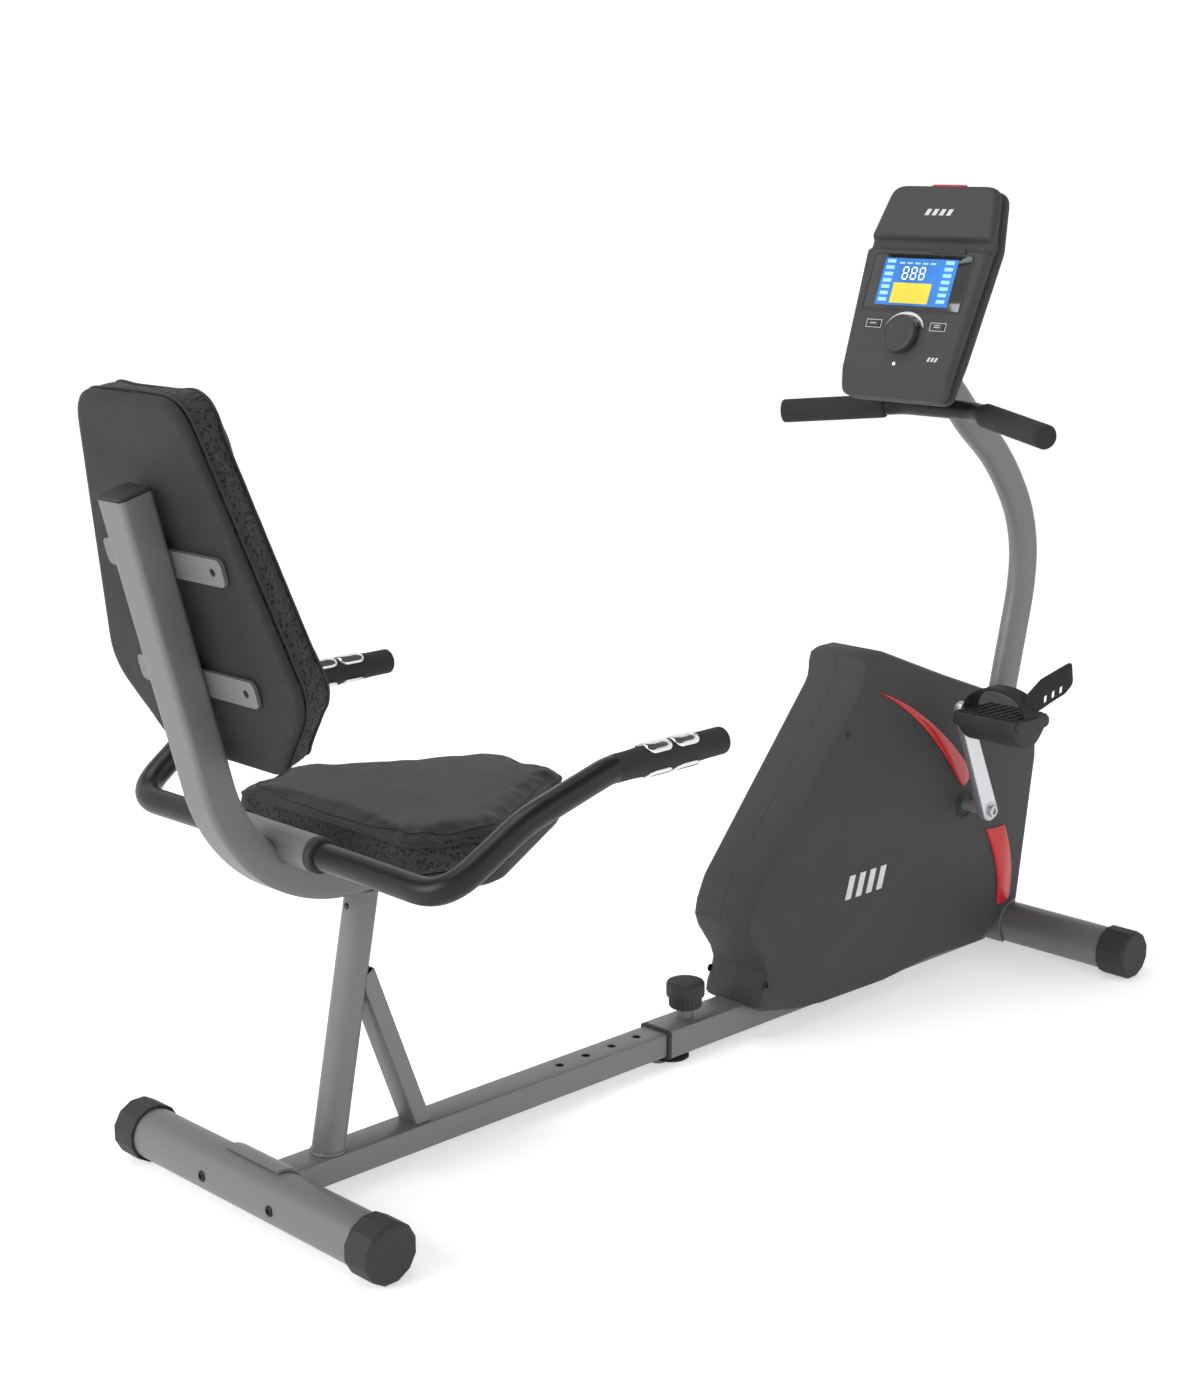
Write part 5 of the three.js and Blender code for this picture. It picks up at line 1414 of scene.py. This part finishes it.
        dial = turned(profile, centre, toward, 176, knurl)
        finished("console_dial_shape", dial, KEY_GREY.material(), "dial", ["console_dial"])
        angle = np.radians(np.linspace(22, 158, 40))
        spread = 5.0 * np.sin(np.linspace(0, np.pi, 40)) + 0.3
        arc = np.stack([np.cos(angle), np.sin(angle)], 1)
        middle_at = np.array([0.0, self.dial_at])
        wide = np.array([1.12, 0.9])
        inner = 31.0
        outer_edge = middle_at + (inner + spread)[:, None] * arc * wide
        inner_edge = (middle_at + inner * arc * wide)[::-1]
        raised = [(0, 0.5), (0, -1.2), (0.3, -1.5)]
        crescent = slab(np.vstack([outer_edge, inner_edge]), raised, self.axes)
        self.part("dial_crescent", crescent, BRIGHT, "print")
        for side, sign in SIDES.items():
            refined(f"console_button_{side}", KEY_GREY.material(), 0.6, 25)
            at = sign * self.key_across
            bars = [(at - 5, at + 5, 97.4, 98.6)] if sign > 0 else [(at - 5, at + 5, 99.2, 100.2),
                                                                     (at - 5, at + 5, 96.4, 97.4)]
            finished(f"key_mark_{side}", plates(bars, -2.25, -1.9, self.axes), PRINT.material(),
                     f"key_{side}")
        middles = (self.key_across, -self.key_across)
        ring = [(u + off, u + off + 0.8, 92.2, 103.8) for u in middles for off in (-12.9, 12.1)]
        ring += [(u - 12.1, u + 12.1, v, v + 0.8) for u in middles for v in (92.2, 103)]
        self.part("key_frames", plates(ring, -0.25, 0.4, self.axes), PRINT, "print")
        lamp_at = self.axes.map(np.array([[2, 44.0, 0]]))[0]
        lamp = turned([(2.4, -0.5), (2.4, 0.3), (1.6, 0.9), (0.02, 1.1)], lamp_at, toward, 24)
        self.part("ready_lamp", lamp, LCD_WHITE, "print")


def quadratic(start: Sequence[float], control: Sequence[float], end: Sequence[float],
              steps: int = 24) -> Array:
    """Returns a quadratic curve's points, from its two ends and the control point between them."""
    share = np.linspace(0, 1, steps)[:, None]
    a, b, c = (np.array(point, float) for point in (start, control, end))
    return (1 - share) ** 2 * a + 2 * share * (1 - share) * b + share**2 * c


@dataclass
class Housing:
    """The two moulded shells over the drive, with their red inlays, screws, port rims and marks."""

    half: float = 52.0
    room: float = 67.0
    port_radius: float = 17.0
    edge_rounding: float = 1.5
    screw_radius: float = 5.2
    mark_pitch: float = 22.0
    mark_foot: float = 158.0
    mark_top: float = 190.0
    body: str = "front_frame"
    rear: float = field(init=False)

    def __post_init__(self) -> None:
        """Finds the rearmost corner from the flywheel that it clears."""
        self.rear = layout("flywheel")[0][0] - self.room

    def inlay(self, loop: Array, sign: int) -> Form:
        """Returns a glossy inlay on the flat: an outline with a rounded upper edge."""
        base = self.half - 0.5
        profile = [(0, base), (0, base + 1.8), (0.35, base + 2.6), (1.1, base + 3.1)]
        return slab(loop, [(inset, sign * height) for inset, height in profile], SIDE_ON)

    def build(self) -> None:
        """Makes both shells, their inlays, screws and port rims."""
        upper = np.vstack([
            quadratic((FRONT - 333, 437), (FRONT - 213, 389), (FRONT - 127, 293), 30),
            quadratic((FRONT - 127, 282), (FRONT - 132, 270), (FRONT - 142, 270), 6),
            quadratic((FRONT - 147, 274), (FRONT - 222, 381), (FRONT - 333, 435.5), 30),
        ])
        lower = np.vstack([
            quadratic((FRONT - 82, 194), (FRONT - 56, 190), (FRONT - 38, 193), 8),
            quadratic((FRONT - 38, 192), (FRONT - 8, 132), (FRONT - 20, 80), 20),
            quadratic((FRONT - 24, 75), (FRONT - 36, 71), (FRONT - 48, 74), 6),
            quadratic((FRONT - 48, 76), (FRONT - 44, 132), (FRONT - 82, 192), 20),
        ])
        for side, sign in SIDES.items():
            refined(f"housing_{side}", HOUSING.material(), self.edge_rounding, 28)
            for name, loop in (("upper", upper), ("lower", lower)):
                finished(f"accent_{name}_{side}_shape", self.inlay(loop, sign), RED.material(), self.body,
                         [f"accent_{name}_{side}"])
            places = ((FRONT - 397, 389), (self.rear + 42, 76), (FRONT - 445, 33))
            out = np.array([0.0, sign, 0.0])
            sunk = (1.4, 3.4, 3.4)
            depths = (2.4, 2.6, 2.6)
            heads = [
                screw(np.array([x, sign * (self.half - under), z]), out, self.screw_radius, depth)
                for (x, z), under, depth in zip(places, sunk, depths)
            ]
            finished(f"housing_screws_{side}", together(heads), DARK_BOLT.material(), self.body)
            low, high = layout("crank_axle")
            at = (low + high) / 2 * np.array([1, 0, 1])
            bore = self.port_radius
            lip = [(bore - 0.2, 46), (bore - 0.2, 52.6), (bore + 1.6, 53.2), (bore + 3.4, 52.4),
                   (bore + 3.4, 51.5)]
            rim = turned(lip[::-1] + [(bore - 2.2, 46)], at, out)
            finished(f"port_rim_{side}", rim, CAP.material(), self.body)
            starts = FRONT - 396 + self.mark_pitch * np.arange(4)
            marks = [(start, start + 12, self.mark_foot, self.mark_top, 10) for start in starts]
            height = sign * np.array([self.half - 0.2, self.half + 0.35])
            bars = plates(marks, *height, SIDE_ON)
            finished(f"housing_mark_{side}", bars, PRINT.material(), self.body)


@dataclass
class Crank:
    """One crank arm with its pedal, spindle and strap."""

    side: str
    length: float = 170.0
    angle: float = math.radians(113.6)
    face: float = 98.0
    thickness: float = 12.0
    hub: float = 15.0
    eye: float = 12.0
    gap: float = 6.0
    pedal_width: float = 104.0
    pedal_half: float = 41.0
    pedal_top: float = 10.0
    strap_rise: float = 34.0
    sign: int = field(init=False)
    axle: Array = field(init=False)
    end: Array = field(init=False)

    def __post_init__(self) -> None:
        """Finds the axle and the pedal's axis; the left crank is half a turn on."""
        self.sign = SIDES[self.side]
        low, high = layout("crank_axle")
        self.axle = (low + high) / 2
        turn = self.angle + (math.pi if self.sign > 0 else 0)
        self.end = self.axle + self.length * np.array([math.cos(turn), 0, math.sin(turn)])

    def build(self) -> None:
        """Makes the arm, its fasteners and the pedal."""
        turn = self.angle + (math.pi if self.sign > 0 else 0)
        around = np.linspace(turn + math.pi / 2, turn + 3 * math.pi / 2, 40)
        beyond = around + math.pi
        hub = self.axle[[0, 2]] + self.hub * np.stack([np.cos(around), np.sin(around)], 1)
        eye = self.end[[0, 2]] + self.eye * np.stack([np.cos(beyond), np.sin(beyond)], 1)
        loop = respaced(np.vstack([hub, eye]), 160)
        inside = self.face - self.thickness
        profile = [(inset, self.sign * height) for inset, height in eased(inside, self.face, 2.2, 4)]
        finished(f"crank_{self.side}_shape", slab(loop, profile, SIDE_ON), STEEL.material(), "crankset",
                 [f"crank_{self.side}"])
        out = np.array([0.0, self.sign, 0.0])
        flat = np.array([1, 0, 1])
        nut = [(13, self.face - 0.5), (13, self.face + 0.7), (8.6, self.face + 1), (8.4, self.face + 5),
               (7.4, self.face + 5.8), (4.4, self.face + 5.8), (4.2, self.face + 3), (0.02, self.face + 3)]

        def six_sided(angle: Array, index: Array) -> Array:
            """Makes the nut's own rings six-sided."""
            hexed = np.cos(np.pi / 6) / np.cos((angle % (np.pi / 3)) - np.pi / 6) * 1.08
            return np.where((index >= 3) & (index <= 4), hexed, 1.0)

        fastener = turned(nut, self.axle * flat, out, 48, six_sided)
        finished(f"crank_nut_{self.side}", fastener, ZINC.material(), "crankset")
        collar = [(6.4, self.face), (9.4, self.face), (9.4, self.face + 4), (8.6, self.face + 5),
                  (6.4, self.face + 5)]
        flange = turned(collar, self.end * flat, out, 40)
        finished(f"pedal_collar_{self.side}", flange, ZINC.material(), "crankset")
        boss = [(9.5, inside + 0.5), (9.5, inside - 1.4), (8, inside - 2), (0.02, inside - 2)]
        back = turned(boss, self.end * flat, out, 40)
        finished(f"spindle_head_{self.side}", back, ZINC.material(), "crankset")
        self.pedal()

    def pedal(self) -> None:
        """Makes the pedal's platform, treads, weight, end plate and strap."""
        body = f"pedal_{self.side}_body"
        x, z = self.end[0], self.end[2]
        inner, outer = self.face + self.gap, self.face + self.gap + self.pedal_width
        centre = (x, self.sign * (inner + outer) / 2, z)
        out = (0, self.sign, 0)
        plan = Axes(centre, (1, 0, 0), out, (0, 0, 1))
        wide, half, top = self.pedal_width, self.pedal_half, self.pedal_top
        base = slab(respaced(rounded_rectangle(2 * half, wide, 9), 120), eased(-top, top - 2, 2.5, 4), plan)
        rows = np.linspace(-wide / 2 + 9, wide / 2 - 12, 8)
        ribs = plates([(-half + 6, half - 6, v, v + 3.2) for v in rows],
                      top - 2.5, top, plan)
        bars = plates([(u, u + 3, -wide / 2 + 9, wide / 2 - 9) for u in (-half + 6, -14, 11, half - 9)],
                      top - 2.5, top - 0.6, plan)
        side_on = Axes(centre, (1, 0, 0), (0, 0, 1), out)
        lens = np.vstack([quadratic((-half + 3, -top + 3), (0, -top - 54), (half - 3, -top + 3), 40)])
        weight = slab(respaced(np.vstack([lens, [[half - 3, -top + 5], [-half + 3, -top + 5]]]), 90),
                      eased(-wide / 2 + 5, wide / 2 - 3, 4, 4), side_on)
        finished(f"pedal_{self.side}_shape", together([base, ribs, bars, weight]), CAP.material(), body,
                 [f"pedal_{self.side}"])
        rim = slab(respaced(rounded_rectangle(2 * half - 8, 2 * top - 5, 6), 80), eased(0, 2.2, 1, 3),
                   Axes((x, self.sign * (outer - 0.4), z), (1, 0, 0), (0, 0, 1), out))
        finished(f"pedal_end_plate_{self.side}", rim, CAP.material(), body)
        self.strap(plan, body)

    def strap(self, plan: Axes, body: str) -> None:
        """Makes the foot strap, a flat ribbed band on an arch, with a loose tail on the right."""
        reach = self.pedal_width / 2 - 2
        share = np.linspace(0, 1, 48)[:, None]
        rise = self.strap_rise * 1.3
        controls = ((0, -reach, 0), (0, -reach, rise), (0, reach, rise), (0, reach, 0))
        corners = [np.array(control, float) for control in controls]
        line = ((1 - share) ** 3 * corners[0] + 3 * share * (1 - share) ** 2 * corners[1]
                + 3 * share**2 * (1 - share) * corners[2] + share**3 * corners[3])
        line[:, 2] += self.pedal_top - 3
        section = respaced(rounded_rectangle(3.2, 34, 1.4, 5), 40)
        band = loft(carried(plan.map(line), section, X_AXIS))
        finished(f"pedal_strap_{self.side}_shape", band, RUBBER.material(), body,
                 [f"pedal_strap_{self.side}"])
        ridge = respaced(rounded_rectangle(3.6, 2.2, 1, 4), 16)
        lines = [plan.map(line[3:-3] + np.array([across, 0, 0.6])) for across in (-13, 13)]
        ribs = [loft(carried(path, ridge, X_AXIS)) for path in lines]
        finished(f"strap_ribs_{self.side}", together(ribs), RUBBER.material(), body)
        if self.sign < 0:
            self.tail(plan, reach)

    def tail(self, plan: Axes, reach: float) -> None:
        """Makes the strap's loose slotted tail, which stands up beyond the pedal's outer end."""
        start = plan.map(np.array([[6.0, reach - 2, 34.0]]))[0]
        along, high = np.array([0.70, -0.52, 0.49]), np.array([-0.12, -0.10, 0.99])
        along, high = along / np.linalg.norm(along), high / np.linalg.norm(high)
        axes = Axes(tuple(start), tuple(along), tuple(high), tuple(np.cross(along, high)))
        corners = [(-16, -26, 6), (30, -21, 8), (50, -20, 9), (62, -12, 9), (58, 22, 8), (10, 22, 14),
                   (-16, 8, 8)]
        flap = slab(respaced(outline(corners, 6), 120), eased(-1.6, 1.6, 0.7, 2), axes)
        slots = [slab(respaced(rounded_rectangle(5, 11, 2), 32) + np.array([u, -11.0]),
                      [(0, -4), (0, 4)], axes) for u in (19, 31, 43)]
        finished(f"strap_tail_{self.side}", cut(flap, slots), RUBBER.material(), f"pedal_{self.side}_body")


# ---------------------------------------------------------------- dressing and stage
HIDDEN = {
    "pedal_spindle_left": STEEL,
    "pedal_spindle_right": STEEL,
    "crank_axle": STEEL,
    "drive_pulley": CAP,
    "drive_belt": RUBBER,
    "flywheel": IRON,
    "flywheel_axle": STEEL,
    "flywheel_bracket": PAINT,
    "bearing_bracket": PAINT,
}


def dress_nodes() -> None:
    """Gives the CAD nodes that still show their finishes."""
    for node, look in HIDDEN.items():
        held = frame["nodes"][node]
        held.data.materials.clear()
        held.data.materials.append(look.material())
        log.info("%s dressed", node)


@dataclass
class Stage:
    """The pale floor that curves up into a backdrop, the soft lights and the camera."""

    camera_from_rear: tuple = (-1.39907, -1.96214, 1.14078)
    pitch: float = 77.1278
    heading: float = -44.5075
    lens: float = 61.12
    floor_glow: float = 0.44
    sky_strength: float = 0.1

    def floor(self) -> None:
        """Makes the floor: a level run that turns up by a quarter circle, the same all round."""
        turn = np.linspace(0, np.pi / 2, 24)
        radius = np.concatenate([[0.01, 2, 5], 9 + 4 * np.sin(turn), [13.0]])
        height = np.concatenate([[0, 0, 0], 4 * (1 - np.cos(turn)), [12.0]])
        angle = np.arange(96) / 96 * 2 * np.pi
        points = np.stack([radius[:, None] * np.cos(angle), radius[:, None] * np.sin(angle),
                           height[:, None] + 0 * angle], -1).reshape(-1, 3)
        rows, columns = np.meshgrid(np.arange(len(radius) - 1), np.arange(96), indexing="ij")
        beside = (columns + 1) % 96
        quads = np.stack([rows * 96 + columns, rows * 96 + beside, (rows + 1) * 96 + beside,
                          (rows + 1) * 96 + columns], -1).reshape(-1, 4)
        mesh = bpy.data.meshes.new("floor")
        mesh.from_pydata(points, [], quads.tolist())
        smooth(mesh, 180)
        graph = Graph("stage_paper")
        tone = graph.mix(graph.noise(0.8, 2), (0.86, 0.86, 0.86, 1), (0.88, 0.88, 0.88, 1))
        graph.dress(Base_Color=tone, Roughness=0.85)
        graph.dress(Emission_Color=(1.0, 1.0, 1.0, 1), Emission_Strength=self.floor_glow)
        mesh.materials.append(graph.material)
        new_object("floor", mesh)

    def light(self, name: str, place: Sequence[float], target: Sequence[float], size: float,
              power: float) -> None:
        """Makes a square soft light that faces a target."""
        lamp = bpy.data.lights.new(name, "AREA")
        lamp.shape = "SQUARE"
        lamp.size = size
        lamp.energy = power
        made = bpy.data.objects.new(name, lamp)
        made.location = place
        made.rotation_euler = (Vector(target) - Vector(place)).to_track_quat("-Z", "Y").to_euler()
        bpy.context.scene.collection.objects.link(made)

    def build(self) -> None:
        """Makes the floor, the surrounding light, three soft lights and the camera."""
        self.floor()
        world = bpy.data.worlds.new("studio")
        world.use_nodes = True
        sky = world.node_tree.nodes["Background"]
        sky.inputs["Color"].default_value = (1.0, 1.0, 1.0, 1.0)
        sky.inputs["Strength"].default_value = self.sky_strength
        scene = bpy.context.scene
        scene.world = world
        scene.view_settings.view_transform = "Standard"
        self.light("rear_softbox", (-4.2, 0.9, 2.3), (0, 0, 0.5), 2.0, 90)
        self.light("top_softbox", (-0.6, 0.9, 4.2), (0, 0, 0.3), 2.6, 70)
        self.light("side_softbox", (1.2, -4.6, 2.0), (0.1, 0, 0.5), 2.4, 14)
        data = bpy.data.cameras.new("camera")
        data.lens = self.lens
        data.clip_end = 100
        camera = bpy.data.objects.new("camera", data)
        scene.collection.objects.link(camera)
        camera.location = np.array(self.camera_from_rear) + np.array([REAR_X, 0, 0])
        camera.rotation_euler = (math.radians(self.pitch), 0, math.radians(self.heading))
        scene.camera = camera


def main() -> None:
    """Builds the stage and every sub-assembly."""
    logging.basicConfig(level=logging.INFO, format="%(name)s %(message)s")
    Stage().build()
    seat_frame = SeatFrame()
    parts = [
        Stabiliser("rear", "seat_carriage", (-62.0, 62.0)),
        Stabiliser("front", "front_frame"),
        Runner(),
        seat_frame,
        Seat(),
        Backrest(seat_frame.back_axes()),
        SeatHandlebar(),
        Mast(),
        Console(),
        Housing(),
        Crank("left"),
        Crank("right"),
    ]
    for part in parts:
        part.build()
    dress_nodes()


if __name__ == "__main__":
    main()
